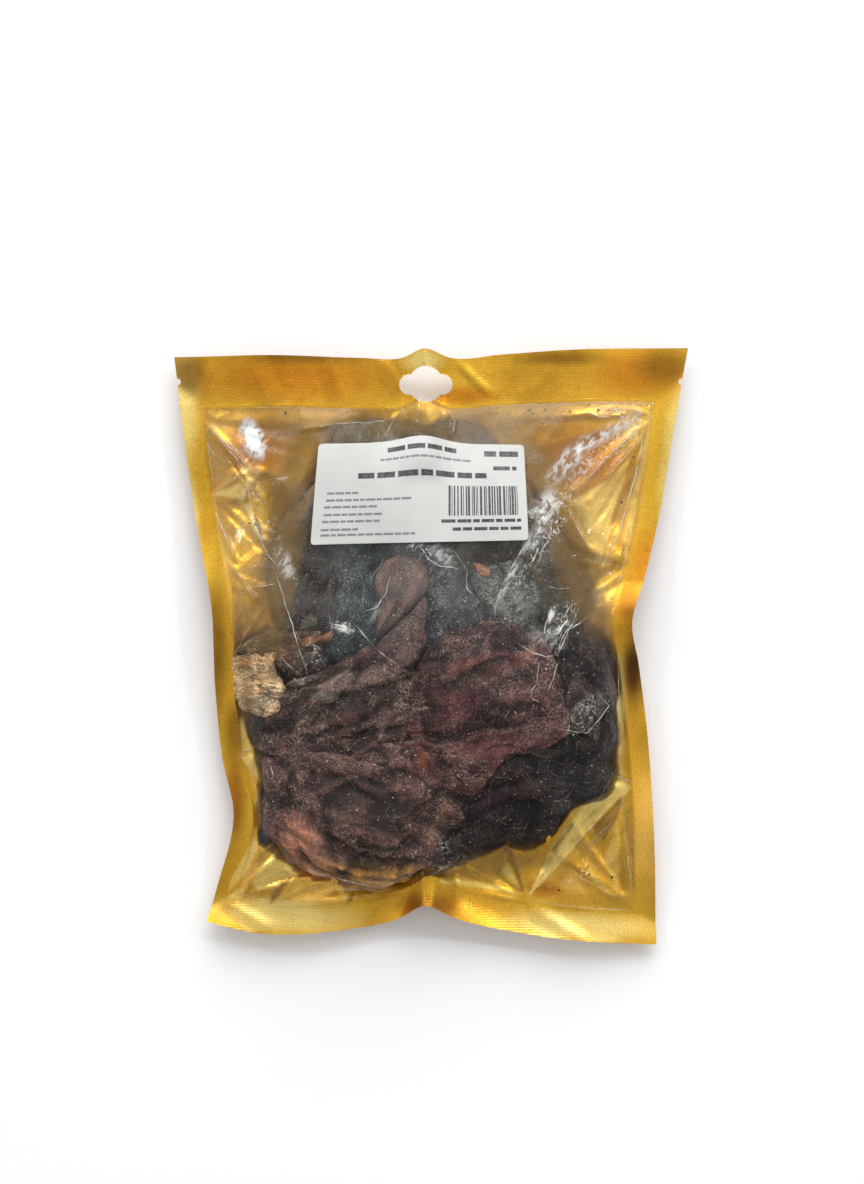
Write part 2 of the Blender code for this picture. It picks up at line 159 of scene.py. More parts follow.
# Sharp creases of the film: the points they run through, height and half width of the ridge, and thickness of
# the crest painted white as a glint, 0 where it has none
CREASES = [
    ([(-110.0, 109.0), (-90.3, 86.8), (-84.5, 51.9)], 1.2, 3.0, 0.16),
    ([(-106.8, 72.8), (-90.3, 85.8), (-82.0, 84.0)], 1.0, 2.5, 0.10),
    ([(-106.9, 71.8), (-102.1, 58.8), (-94.3, 42.4)], 0.9, 2.0, 0.24),
    ([(-111.2, 110.0), (-98.6, 97.8), (-90.0, 89.1)], 0.9, 2.0, 0.16),
    ([(-111.0, 109.0), (-110.2, 100.4), (-105.6, 93.5), (-99.0, 89.1)], 0.7, 2.0, 0.12),
    ([(-90.0, 88.3), (-82.2, 85.6), (-89.1, 77.9), (-90.8, 71.8), (-106.9, 74.4)], 1.0, 2.4, 0.12),
    ([(-91.3, 69.2), (-86.5, 60.6), (-83.0, 52.8), (-78.7, 51.0)], 0.8, 2.0, 0.12),
    ([(-88.0, 65.6), (-82.7, 53.7), (-79.0, 44.8), (-73.4, 38.5)], 0.6, 1.8, 0.14),
    ([(-84.8, 29.2), (-80.0, 29.6), (-75.3, 30.7)], 0.6, 1.6, 0.16),
    ([(-98.1, 40.7), (-92.0, 34.0), (-85.0, 23.3)], 0.8, 2.0, 0.10),
    ([(-75.8, 38.3), (-69.0, 19.0), (-63.7, 1.9), (-58.8, -12.6)], 0.7, 1.6, 0.17),
    ([(-6.4, 50.4), (-2.0, 43.0), (2.8, 39.3), (13.0, 37.8)], 0.8, 2.0, 0.24),
    ([(-19.5, 34.9), (-21.5, 26.0), (-25.5, 19.8), (-32.6, 17.0)], 0.8, 2.0, 0.24),
    ([(-22.6, 42.5), (-25.8, 37.0), (-29.2, 32.2)], 0.3, 1.4, 0.10),
    ([(-32.2, 26.2), (-32.6, 21.0)], 0.3, 1.4, 0.14),
    ([(-48.9, 18.0), (-47.5, 6.9)], 0.4, 1.4, 0.12),
    ([(-61.6, 15.8), (-55.2, 12.9)], 0.3, 1.4, 0.09),
    ([(-47.2, 11.6), (-41.0, 9.6), (-36.5, 8.2)], 1.0, 2.4, 0.30),
    ([(-46.0, 10.0), (-42.0, 8.4), (-38.6, 6.6)], 0.4, 1.6, 0.34),
    ([(-35.5, 10.7), (-32.4, 7.2), (-29.6, 3.6)], 0.6, 1.8, 0.20),
    ([(-29.6, 3.6), (-26.8, 0.4), (-20.0, -5.0), (-13.0, -9.6)], 0.5, 1.8, 0.10),
    ([(10.0, 47.0), (14.0, 42.0), (17.0, 37.0), (16.8, 28.9), (19.8, 25.9), (28.6, 14.1)], 0.4, 1.8, 0.11),
    ([(45.5, 50.4), (39.8, 40.8), (33.8, 30.4)], 0.6, 2.0, 0.26),
    ([(33.8, 30.4), (30.9, 20.0), (30.1, 14.1)], 0.5, 2.0, 0.16),
    ([(51.5, 47.5), (48.4, 42.0), (46.2, 39.4)], 0.5, 1.6, 0.28),
    ([(46.5, 50.0), (49.0, 45.6), (51.0, 44.4)], 0.4, 1.4, 0.20),
    ([(58.0, 56.0), (55.0, 50.0), (52.6, 46.0), (50.6, 38.5)], 0.6, 1.8, 0.20),
    ([(56.4, 19.8), (58.0, 17.4), (57.6, 14.4), (55.8, 13.2)], 0.9, 2.2, 0.36),
    ([(55.6, 14.4), (54.2, 11.0), (53.9, 7.0)], 0.5, 1.8, 0.24),
    ([(63.5, 9.7), (65.4, 13.0), (64.6, 17.0), (68.0, 21.5), (66.4, 17.6)], 0.4, 1.4, 0.14),
    ([(65.0, 8.9), (70.2, 11.1), (75.8, 15.2)], 0.5, 1.6, 0.20),
    ([(42.7, 1.1), (48.7, -2.2), (54.6, -3.7), (59.0, -3.4)], 0.5, 1.6, 0.20),
    ([(64.6, 8.4), (61.0, 2.0), (60.4, -4.0)], 0.5, 1.6, 0.14),
    ([(60.0, -6.9), (57.6, -14.0), (55.0, -21.3)], 0.8, 2.0, 0.17),
    ([(50.6, -4.6), (50.2, -16.3), (47.2, -20.1), (47.9, -23.8), (50.8, -25.2), (53.9, -24.5)],
     0.6, 1.6, 0.11),
    ([(89.5, 13.0), (90.4, -14.0), (90.2, -52.0)], 0.7, 2.0, 0.09),
    ([(92.5, -13.0), (93.6, -22.0), (93.0, -32.0)], 0.7, 2.0, 0.16),
    ([(71.7, 20.9), (66.0, 9.0), (60.0, -3.4)], 0.7, 1.8, 0.16),
    ([(55.7, 29.1), (61.0, 28.2), (66.8, 28.6)], 0.6, 1.6, 0.14),
    ([(78.4, -21.8), (85.7, -27.6), (74.1, -40.7), (61.5, -38.3)], 0.7, 1.8, 0.15),
    ([(103.5, 109.0), (99.0, 84.0), (92.0, 58.0), (82.0, 38.0)], 0.8, 2.0, 0.26),
    ([(105.1, 106.7), (102.5, 80.0), (100.3, 51.9)], 0.8, 2.0, 0.12),
    ([(66.4, 66.0), (70.0, 58.0), (76.0, 48.0)], 0.7, 2.0, 0.12),
    ([(108.6, 112.5), (88.0, 95.0), (69.7, 75.2)], 1.3, 3.2, 0.12),
    ([(107.5, 109.0), (90.0, 88.0), (77.0, 71.3)], 1.2, 2.8, 0.10),
    ([(69.7, 112.5), (76.0, 113.6), (81.8, 111.1), (94.0, 113.0)], 0.9, 2.0, 0.17),
    ([(86.0, 116.0), (98.0, 115.5), (108.0, 112.0)], 0.9, 2.2, 0.15),
    ([(-63.7, 105.7), (-44.3, 108.2), (-21.5, 109.1), (-15.2, 114.0)], 0.8, 2.0, 0.12),
    ([(8.6, 114.0), (11.5, 109.0), (10.5, 103.3)], 0.7, 1.8, 0.12),
    ([(-22.4, 100.4), (-19.0, 108.0), (-15.2, 114.0)], 0.7, 1.8, 0.12),
    ([(98.3, -67.9), (86.7, -73.7), (66.0, -98.0), (46.4, -122.4)], 0.7, 3.0, 0.12),
    ([(87.2, -60.6), (98.3, -66.0)], 0.9, 2.4, 0.10),
    ([(86.7, -60.6), (78.7, -75.2), (67.8, -88.3), (47.4, -120.3)], 0.5, 2.2, 0.08),
    ([(35.8, -95.5), (34.3, -108.6), (46.4, -122.4)], 1.1, 3.0, 0.0),
    ([(-0.6, -111.5), (15.4, -107.2), (46.0, -123.2)], 0.9, 2.4, 0.0),
    ([(2.3, -114.5), (24.1, -120.4), (46.7, -124.6)], 0.9, 2.2, 0.10),
    ([(91.1, -81.0), (78.0, -91.2), (72.1, -111.5), (88.2, -120.6), (99.0, -123.4)], 1.1, 3.0, 0.08),
    ([(92.5, -83.9), (95.6, -104.0), (99.0, -123.4)], 0.9, 2.6, 0.10),
    ([(-73.5, -95.8), (-75.7, -100.2), (-80.1, -104.7), (-92.0, -112.0)], 1.2, 3.0, 0.12),
    ([(-98.0, -121.0), (-85.5, -111.4), (-77.5, -107.8), (-66.4, -110.4)], 1.1, 2.8, 0.0),
    ([(-80.1, -125.0), (-75.7, -117.1), (-72.1, -113.5), (-66.4, -110.4)], 1.0, 2.6, 0.08),
    ([(-78.4, -125.0), (-67.7, -120.7), (-56.1, -115.3), (-41.0, -111.4)], 1.2, 3.0, 0.0),
    ([(-44.6, -116.3), (-28.6, -116.7), (-11.7, -120.2), (-5.5, -115.3)], 0.9, 2.4, 0.10),
    ([(-41.0, -124.6), (-44.6, -116.3)], 0.9, 2.4, 0.0),
    ([(-60.9, -106.2), (-40.0, -111.5), (-18.1, -117.0)], 0.8, 2.0, 0.12),
    ([(-11.3, -117.0), (-4.0, -111.5), (1.8, -108.6), (10.1, -101.9)], 0.9, 2.2, 0.12),
    ([(-95.2, -54.8), (-90.0, -50.0), (-83.5, -47.5)], 0.8, 2.0, 0.12),
    ([(-97.0, -20.0), (-90.0, -62.0), (-86.0, -80.0)], 0.7, 2.2, 0.0),
    ([(97.0, -20.0), (98.5, -45.0), (97.5, -62.0)], 0.8, 2.2, 0.10),
    ([(92.0, 44.0), (101.0, 38.8), (91.0, 33.0)], 0.9, 2.2, 0.12),
    ([(97.0, 55.0), (93.0, 39.0), (88.0, 25.0)], 0.6, 1.8, 0.10),
    ([(-97.4, -17.8), (-90.0, -14.4), (-82.7, -11.8)], 0.6, 1.8, 0.13),
    ([(-98.1, -26.0), (-94.9, -20.9), (-87.0, -17.4), (-82.7, -16.5)], 0.6, 1.8, 0.13),
    ([(-82.5, 17.0), (-91.8, 2.5), (-96.6, -6.5), (-97.9, -11.6), (-97.4, -17.8)], 0.6, 1.8, 0.09),
    ([(-71.9, -4.6), (-67.0, -9.0), (-61.9, -13.1)], 0.4, 1.4, 0.10),
    ([(-78.0, -54.2), (-76.4, -58.1), (-75.3, -61.6)], 0.4, 1.4, 0.12),
    ([(-110.6, 113.0), (-107.3, 88.0), (-103.5, 60.0), (-99.6, 38.0), (-96.4, 14.0)], 0.4, 1.4, 0.08),
    ([(98.5, -66.0), (99.0, -95.0), (100.0, -122.0)], 0.4, 1.4, 0.09),
    ([(46.7, -124.0), (72.0, -126.8), (99.5, -128.9)], 0.5, 1.6, 0.12),
    ([(-98.0, -119.6), (-78.0, -123.6), (-44.0, -122.7), (-18.0, -117.4)], 0.5, 1.6, 0.10),
    ([(-104.0, 116.2), (-70.0, 116.2), (-30.0, 116.2)], 0.4, 1.4, 0.07),
    ([(20.0, 117.0), (60.0, 118.0), (104.0, 119.2)], 0.4, 1.4, 0.08),
]

# Crinkled patches of the film, white partly from their own scatter and partly as painted highlight:
# x, y, half length, half width, heading in degrees, strength
CRINKLES = [
    (-88.0, 101.0, 12.0, 6.0, 105.0, 0.35),
    (85.0, 96.0, 26.0, 6.5, 36.0, 0.30),
    (60.0, 64.0, 22.0, 7.5, 62.0, 0.50),
    (92.0, 113.0, 15.0, 2.4, -8.0, 0.60),
    (45.0, 36.0, 17.0, 6.0, 58.0, 0.25),
    (63.0, 12.0, 13.0, 6.0, 64.0, 0.40),
    (-1.0, 43.5, 13.0, 4.5, -36.0, 0.40),
    (-42.0, 10.2, 6.0, 3.0, -16.0, 0.80),
    (-68.0, 36.0, 10.0, 3.2, -62.0, 0.25),
    (72.0, -32.0, 13.0, 6.0, 50.0, 0.36),
    (-56.0, -2.0, 8.0, 4.0, -70.0, 0.30),
    (6.0, -104.0, 14.0, 4.0, 20.0, 0.30),
    (5.0, -95.0, 7.0, 4.0, 0.0, 0.30),
    (-82.0, 60.0, 26.0, 9.0, 108.0, 0.22),
]

# Patches of painted reflection, where the film mirrors a light and is painted milky white, in the same form
SHEENS = [
    (-86.5, 101.0, 11.0, 5.5, 112.0, 1.20),
    (84.0, 103.0, 20.0, 3.6, 30.0, 0.50),
    (66.0, 90.0, 16.0, 5.0, 48.0, 0.50),
    (56.0, 68.0, 9.0, 6.0, 62.0, 0.60),
    (50.0, 54.0, 10.0, 3.4, 60.0, 0.45),
    (37.5, 34.0, 17.0, 1.4, 64.0, 0.45),
    (40.0, 21.0, 10.0, 8.0, 0.0, 0.10),
    (55.0, 4.0, 10.0, 5.0, -24.0, 0.12),
    (57.4, 16.0, 4.4, 1.4, 72.0, 0.80),
    (-70.0, 40.0, 9.0, 4.0, -68.0, 0.42),
    (-41.8, 9.4, 4.2, 1.7, -16.0, 1.00),
    (6.0, 44.0, 8.0, 4.0, -36.0, 0.26),
    (72.0, -31.0, 9.0, 6.0, 50.0, 0.05),
    (-26.0, 18.0, 7.0, 2.0, 60.0, 0.14),
]

# Patches where grease and fish dust cloud the inside of the film, in the same form
CLOUDS = [
    (-72.0, 46.0, 46.0, 11.0, 82.0, 0.60),
    (-58.0, 98.0, 30.0, 14.0, -16.0, 0.24),
    (4.0, 107.0, 62.0, 9.0, 0.0, 0.26),
    (52.0, 88.0, 26.0, 13.0, -38.0, 0.26),
    (70.0, 37.0, 36.0, 11.0, -72.0, 0.55),
    (-80.0, 4.0, 14.0, 10.0, 0.0, 0.20),
    (-89.0, -20.0, 20.0, 4.0, 90.0, 0.24),
    (30.0, -104.0, 36.0, 7.0, 8.0, 0.30),
]

# Flat facets of the creased foil, with painted highlight above 0 and painted shade below that stand in for
# their reflections, and their corners
FACETS = [
    (0.9, [(87, -61), (98, -68), (79, -87), (61, -108), (47, -122), (60, -96), (70, -83)]),
    (-0.5, [(93, -72), (92, -81), (84, -95), (79, -90), (79, -87)]),
    (-0.2, [(73, -93), (79, -87), (81, -95), (81, -101), (73, -109), (60, -112)]),
    (0.4, [(92, -81), (87, -96), (84, -103), (88, -116), (91, -122)]),
    (-0.3, [(92, -81), (98, -77), (100, -118), (92, -119)]),
    (0.6, [(72, -109), (78, -110), (90, -122), (82, -117)]),
    (-0.3, [(4, -112), (12, -103), (36, -95), (45, -120)]),
    (0.8, [(34, -110), (37, -106), (41, -108), (46, -120)]),
    (-0.6, [(35, -97), (39, -97), (46, -120), (44, -120)]),
    (0.7, [(4, -111), (26, -115), (46, -121), (26, -118), (4, -114)]),
    (0.8, [(50, -126), (64, -130), (94, -143), (80, -143)]),
    (0.9, [(-78, -108), (-66, -110), (-84, -119), (-87, -114)]),
    (0.6, [(-100, -121), (-97, -112), (-86, -92), (-83, -96), (-90, -110)]),
    (-0.2, [(-83, -97), (-74, -95), (-73, -98), (-88, -112), (-93, -115)]),
    (0.8, [(-73, -96), (-63, -108), (-66, -110), (-78, -108), (-87, -113)]),
    (-0.2, [(-88, -114), (-94, -125), (-90, -124), (-86, -115)]),
    (0.6, [(-100, -122), (-88, -114), (-94, -125)]),
    (-0.5, [(-67, -111), (-77, -118), (-79, -126), (-75, -123), (-70, -116)]),
    (-0.1, [(-54, -114), (-47, -114), (-57, -119), (-73, -124)]),
    (0.6, [(-44, -115), (-40, -118), (-42, -125)]),
    (-0.6, [(-38, -118), (-38, -124), (-42, -125)]),
    (-0.3, [(-34, -118), (-10, -120), (-30, -125), (-38, -124)]),
    (0.3, [(-64, -107), (-45, -111), (-13, -118), (-44, -116), (-66, -110)]),
    (0.7, [(-88, -51), (-81, -54), (-81, -69), (-92, -55)]),
    (0.4, [(-81, -69), (-82, -91), (-87, -75)]),
    (0.7, [(-100, -128), (-87, -131), (-77, -138), (-90, -138)]),
    (-0.3, [(-111, 110), (-91, 88), (-93, 84), (-105, 77), (-107, 74), (-110, 90)]),
    (0.5, [(-91, 88), (-82, 86), (-88, 76), (-94, 84)]),
    (0.6, [(-107, 74), (-93, 80), (-89, 74), (-91, 71)]),
    (-0.3, [(-106, 72), (-92, 70), (-95, 60), (-95, 44)]),
    (0.8, [(-91, 70), (-88, 70), (-83, 54), (-85, 54)]),
    (-0.3, [(-82, 86), (-72, 82), (-65, 63), (-78, 52)]),
    (0.3, [(-85, 29), (-75, 31), (-79, 17)]),
    (-0.3, [(-85, 27), (-97, 30), (-96, 4), (-90, -4), (-86, 8)]),
    (0.4, [(-93, -34), (-90, -34), (-88, -50), (-92, -53)]),
    (0.8, [(-93, -54), (-88, -51), (-84, -55), (-87, -57)]),
    (0.5, [(69, 71), (85, 81), (98, 94), (89, 63), (82, 41), (74, 40)]),
    (0.4, [(104, 106), (107, 106), (96, 48), (93, 50)]),
    (-0.2, [(98, 94), (103, 102), (92, 52), (87, 60)]),
    (-0.4, [(79, 36), (90, 42), (95, 40), (87, 33), (73, 26)]),
    (0.7, [(72, 25), (86, 32), (78, 17)]),
    (0.2, [(87, 32), (89, 25), (82, 16), (78, 17)]),
]
FACET_RISE = 0.14
FACET_REACH = 5.0
FACET_RIM = 0.6

# Smaller facets that fill the rest of the film, the foil, and the film where it is taut over the fish:
# spacing, height, seed, and for the long ones heading and stretch
FILM_FACETS = [(24.0, 2.0, 11, 70.0, 1.6), (9.0, 0.55, 12)]
FOIL_FACETS = [(26.0, 2.2, 21, 35.0, 1.6), (11.0, 0.45, 22)]
TAUT_FACETS = (6.0, 0.22, 13)

# Distance from the seals over which the creases come in, share of the film's creases that the foil follows,
# and the bends of the film that its material takes for no crease and a full one
CREASE_MARGIN = 7.0
FOIL_CREASE_SHARE = 0.7
CREASE_BEND = (0.05, 0.3)

# Crests: step along them, how far they wander and over what length, how their thickness swells and over what
# length, and their lift off the film
CREST_STEP = 0.8
CREST_WANDER = 0.55
WANDER_LENGTH = 5.0
CREST_SWELL = 1.6
SWELL_LENGTH = 3.5
CREST_LIFT = 0.06

# A fish piece: its outline in plan, base and top height, direction of its fibres, and its flesh
Fish = namedtuple("Fish", "outline base top heading flesh")
FISH = {
    "upper_left": Fish(
        [(-75.8, 51.9), (-63.7, 71.3), (-49.1, 85.8), (-39.4, 80.0), (-39.0, 42.2), (-41.2, 3.4),
         (-63.7, -0.5), (-73.4, 10.7), (-77.2, 30.1)],
        0.5, 22.0, 80.0, "olive",
    ),
    "upper_mid": Fish(
        [(-46.0, 104.0), (-40.0, 107.6), (-31.0, 108.8), (-21.9, 107.2), (-12.0, 95.5), (8.2, 95.5),
         (10.7, 61.6), (6.2, 22.8), (-7.9, 6.7), (-22.4, -2.0), (-38.0, -6.0), (-52.9, -8.3),
         (-47.7, 13.1), (-46.2, 51.9), (-49.1, 85.8)],
        0.5, 30.0, 84.0, "blue_black",
    ),
    "upper_right": Fish(
        [(3.6, 108.2), (23.6, 106.2), (35.8, 90.7), (55.2, 66.6), (69.7, 44.2), (74.6, 22.8),
         (67.3, 5.3), (52.7, -3.0), (36.2, -2.6), (19.6, 8.1), (5.5, 20.8), (0.2, 51.9), (0.2, 85.8)],
        0.5, 27.0, 112.0, "umber",
    ),
    "grey_oval": Fish(
        [(16.9, 36.9), (23.6, 39.8), (31.9, 41.7), (39.6, 41.5), (45.0, 39.3), (49.8, 33.5), (52.3, 25.7),
         (51.8, 15.0), (47.9, 7.5), (41.0, 2.8), (33.8, 5.6), (28.6, 13.5), (23.8, 21.0), (19.3, 29.0)],
        10.0, 35.5, 100.0, "grey_fuzz",
    ),
    "middle": Fish(
        [(-2.0, 38.0), (6.0, 41.0), (14.0, 39.0), (19.5, 30.0), (25.0, 21.0), (29.5, 13.5), (20.0, 5.0),
         (10.0, -1.0), (0.0, -6.0), (-9.0, 0.0), (-9.0, 14.0), (-4.0, 26.0)],
        8.0, 35.0, 30.0, "blue_fuzz",
    ),
    "centre_left": Fish(
        [(-26.5, 1.0), (-20.5, 7.0), (-13.7, 13.6), (-8.7, 18.2), (-3.6, 24.4), (-0.8, 19.5), (-2.6, 9.7),
         (-2.0, 1.4), (-6.4, -6.3), (-12.0, -10.7), (-20.5, -10.0), (-26.0, -5.5)],
        9.0, 42.0, 40.0, "mauve",
    ),
    "oval": Fish(
        [(-21.5, 42.0), (-24.9, 37.3), (-27.0, 31.4), (-26.3, 26.4), (-23.8, 21.8), (-25.2, 17.9),
         (-25.6, 11.3), (-27.0, 2.4), (-20.5, 7.7), (-13.9, 14.3), (-9.3, 18.9), (-4.0, 25.2),
         (-0.9, 31.0), (-2.2, 37.6), (-6.9, 42.5), (-13.7, 44.3)],
        12.0, 38.6, 62.0, "rose_brown",
    ),
    "chip": Fish(
        [(19.6, 41.4), (23.9, 39.8), (28.2, 37.6), (27.0, 34.4), (23.4, 34.8), (21.4, 37.4)],
        31.0, 36.0, 140.0, "orange",
    ),
    "mottled_left": Fish(
        [(-94.8, -6.9), (-92.3, 1.4), (-78.2, 8.2), (-63.7, 9.2), (-48.7, 8.2), (-46.3, 0.4),
         (-54.0, -6.5), (-63.7, -16.0), (-72.0, -12.0), (-82.0, -3.0)],
        1.0, 24.0, 24.0, "mottled",
    ),
    "orange_strip": Fish(
        [(-64.0, 3.2), (-58.0, 5.6), (-52.0, 5.8), (-47.5, 8.4), (-44.6, 5.8), (-45.6, 2.8), (-52.0, 2.2),
         (-58.0, 0.4), (-63.0, 0.2)],
        8.0, 28.0, 10.0, "orange",
    ),
    "tan_under": Fish(
        [(-88.6, -33.0), (-80.0, -29.0), (-70.0, -30.0), (-66.0, -40.0), (-76.0, -50.5), (-84.0, -50.0),
         (-88.0, -42.0)],
        1.0, 24.0, 84.0, "umber",
    ),
    "tan_left": Fish(
        [(-95.6, -4.6), (-88.0, -3.4), (-80.7, -2.4), (-74.6, -2.0), (-76.0, -8.4), (-73.0, -14.0),
         (-69.6, -20.6), (-70.4, -27.0), (-72.4, -32.0), (-78.0, -33.4), (-85.3, -32.8), (-91.0, -30.5),
         (-95.2, -25.0), (-96.2, -16.0)],
        6.0, 33.0, -8.0, "tan",
    ),
    "under_left": Fish(
        [(-70.0, 60.0), (-50.0, 84.0), (-20.0, 100.0), (0.0, 92.0), (4.0, 40.0), (-6.0, -10.0),
         (-20.0, -60.0), (-60.0, -60.0), (-72.0, -30.0), (-70.0, 20.0)],
        0.5, 24.0, 70.0, "maroon",
    ),
    "under_right": Fish(
        [(-8.0, 90.0), (12.0, 98.0), (34.0, 84.0), (56.0, 56.0), (68.0, 26.0), (76.0, -10.0),
         (78.0, -50.0), (50.0, -72.0), (10.0, -84.0), (-24.0, -80.0), (-26.0, -20.0), (-14.0, 40.0)],
        0.5, 25.0, 110.0, "maroon",
    ),
    "left_mid": Fish(
        [(-84.5, -45.5), (-77.7, -30.6), (-69.5, -16.5), (-52.5, -10.1), (-31.2, 0.5), (-13.1, -3.3),
         (1.0, -18.9), (3.0, -39.8), (-9.2, -54.9), (-27.3, -58.4), (-41.8, -54.0), (-56.9, -50.6),
         (-70.9, -52.0), (-83.0, -51.5)],
        0.5, 42.0, 16.0, "ash_brown",
    ),
    "centre_right": Fish(
        [(-10.5, -12.7), (6.1, 6.8), (29.0, 14.1), (43.0, 8.8), (58.2, -0.5), (62.6, -18.4),
         (67.4, -41.3), (54.7, -48.1), (39.6, -51.1), (28.6, -60.4), (18.8, -70.1), (-1.2, -66.7),
         (-10.6, -53.5), (-12.5, -29.7)],
        0.5, 46.0, 14.0, "plum",
    ),
    "right": Fish(
        [(63.9, 4.8), (80.9, 4.4), (88.6, -6.3), (90.6, -20.9), (88.0, -27.2), (89.6, -46.1),
         (85.2, -55.4), (72.6, -53.5), (59.9, -44.3), (53.6, -25.7), (56.6, -8.2)],
        0.5, 37.0, 98.0, "dark_grey",
    ),
    "lower_right": Fish(
        [(22.6, -50.4), (39.6, -42.6), (62.0, -37.3), (77.0, -44.1), (86.6, -52.9), (87.2, -60.6),
         (82.8, -71.3), (66.3, -77.6), (58.6, -89.2), (45.5, -97.0), (36.3, -93.6), (19.6, -86.9),
         (11.4, -78.1), (18.1, -65.4)],
        0.5, 38.0, 24.0, "black",
    ),
    "lower_mid": Fish(
        [(12.4, -74.0), (26.1, -76.9), (39.2, -91.6), (27.1, -99.5), (15.4, -103.3), (0.7, -104.4),
         (2.0, -97.0), (8.0, -86.0)],
        0.5, 31.0, 12.0, "black",
    ),
    "lower_left": Fish(
        [(-80.1, -49.9), (-68.5, -42.0), (-49.1, -40.0), (-27.3, -43.9), (-5.5, -42.0), (13.5, -47.4),
         (28.6, -55.2), (25.6, -69.4), (17.4, -80.1), (8.2, -91.2), (4.2, -103.3), (-12.7, -114.0),
         (-27.3, -115.0), (-44.3, -112.1), (-58.3, -108.2), (-69.5, -100.4), (-76.2, -93.6),
         (-80.6, -88.8), (-79.7, -71.8)],
        0.5, 43.0, -20.0, "brown",
    ),
    "lower_left_tip": Fish(
        [(-81.0, -66.0), (-76.0, -68.0), (-76.0, -84.0), (-77.2, -94.0), (-79.8, -96.8), (-83.2, -95.6),
         (-83.4, -90.0), (-81.4, -84.0)],
        1.0, 15.0, 88.0, "black",
    ),
}

# Edges of overlapping flaps on the pieces: the points that each runs through, how far the flesh drops on its
# right side, and the reach of that hollow
FLAPS = {
    "left_mid": [
        ([(-77, -51), (-63, -46), (-49, -45), (-35, -41), (-27, -36)], 3.2, 5.0),
        ([(-43, -31), (-55, -38), (-67, -41), (-80, -44)], 1.6, 4.0),
        ([(-72, -28), (-62, -20), (-53, -19)], 2.2, 4.0),
        ([(-53, -28), (-40, -20), (-27, -17), (-15, -15)], 2.6, 5.0),
        ([(-21, -25), (-25, -36), (-18, -53), (-10, -43), (-8, -30)], 1.8, 4.0),
    ],
    "centre_right": [
        ([(60, -31), (44, -37), (24, -40), (3, -47)], 2.0, 5.0),
        ([(-4, -50), (-6, -35), (-4, -16)], 1.8, 5.0),
        ([(9, -35), (34, -26), (54, -24)], 2.0, 5.0),
        ([(3, -18), (22, -6), (38, -1)], 2.2, 5.0),
        ([(58, -8), (46, -13), (30, -20)], 1.4, 4.0),
    ],
    "right": [
        ([(61, 7), (71, -2), (87, -13)], 2.4, 6.0),
        ([(59, -29), (71, -41), (84, -46)], 2.0, 6.0),
        ([(72, -4), (65, -20), (62, -34)], 2.2, 6.0),
    ],
    "lower_right": [
        ([(25, -53), (39, -49), (56, -52), (70, -50)], 2.4, 6.0),
        ([(30, -73), (49, -71), (60, -66)], 2.0, 6.0),
        ([(52, -82), (60, -80), (71, -74)], 2.0, 5.0),
        ([(70, -64), (67, -50)], 1.8, 5.0),
    ],
    "lower_left": [
        ([(-17, -60), (-31, -51), (-43, -49), (-57, -49), (-69, -52)], 2.4, 4.0),
        ([(-53, -69), (-40, -61), (-32, -60), (-20, -64)], 1.8, 5.0),
        ([(-37, -72), (-26, -77), (-17, -82), (-8, -86)], 2.0, 6.0),
        ([(-51, -88), (-54, -79), (-52, -70)], 1.6, 4.0),
        ([(-54, -84), (-39, -96), (-26, -101), (-8, -101)], 3.0, 6.0),
        ([(-39, -93), (-15, -94), (-6, -88)], 1.8, 5.0),
        ([(16, -56), (6, -70), (2, -84)], 1.6, 5.0),
        ([(-76, -74), (-70, -64), (-72, -56)], 1.8, 4.0),
    ],
}
FLAP_STEPS = 80
FLAP_WANDER = 1.3
RIDGE_WIDTH = 1.1
# Share of pale dust and painted highlight that the ridges along the flaps get
RIDGE_SHARE = 0.8

# Form of the pieces: how boxy their sides are (1 is round), how far they pass their outlines and how ragged
# these are, how finely they are divided, and the mean radius below which a piece is small: coarser and with
# less of the raggedness. Then how much of the relief's direction is sideways, and the depths between which
# the flesh's painted shade darkens it.
ROUNDNESS = 0.52
GROWTH = 1.03
RIM_WOBBLE = 2.2
RIM_RAGGED = 0.9
PIECE_FINENESS = 6
SMALL_PIECE = 22.0
SMALL_RIM = 0.4
RELIEF_TILT = 0.35
DEEP_FROM = 0.8
DEEP_TO = 4.8

# Relief of the dried flesh, as noise of these sizes along the fibres, across them and upwards, with a step
# from one piece to the next: a warp of the rest, crevices, ledges of flaps, wrinkles, dents and pits
WARP = (26, 26, 26, 1.0)
CREVICE = (36, 14, 20, 3.1)
LEDGE = (40, 22, 40, 2.7)
WRINKLE = (12, 5, 7, 9.1)
DENT = (17, 12, 12, 4.3)
PIT = (4.5, 4.5, 4.5, 7.3)
WARP_DEPTH = 7.0
CREVICE_DEPTH = 3.0
CREVICE_SHARPNESS = 4.5
LEDGE_DEPTH = 2.4
LEDGE_COUNT = 2.6
LEDGE_DROP = 9
WRINKLE_DEPTH = 0.4
WRINKLE_SHARPNESS = 3.2
DENT_DEPTH = 3.0
PIT_DEPTH = 0.15

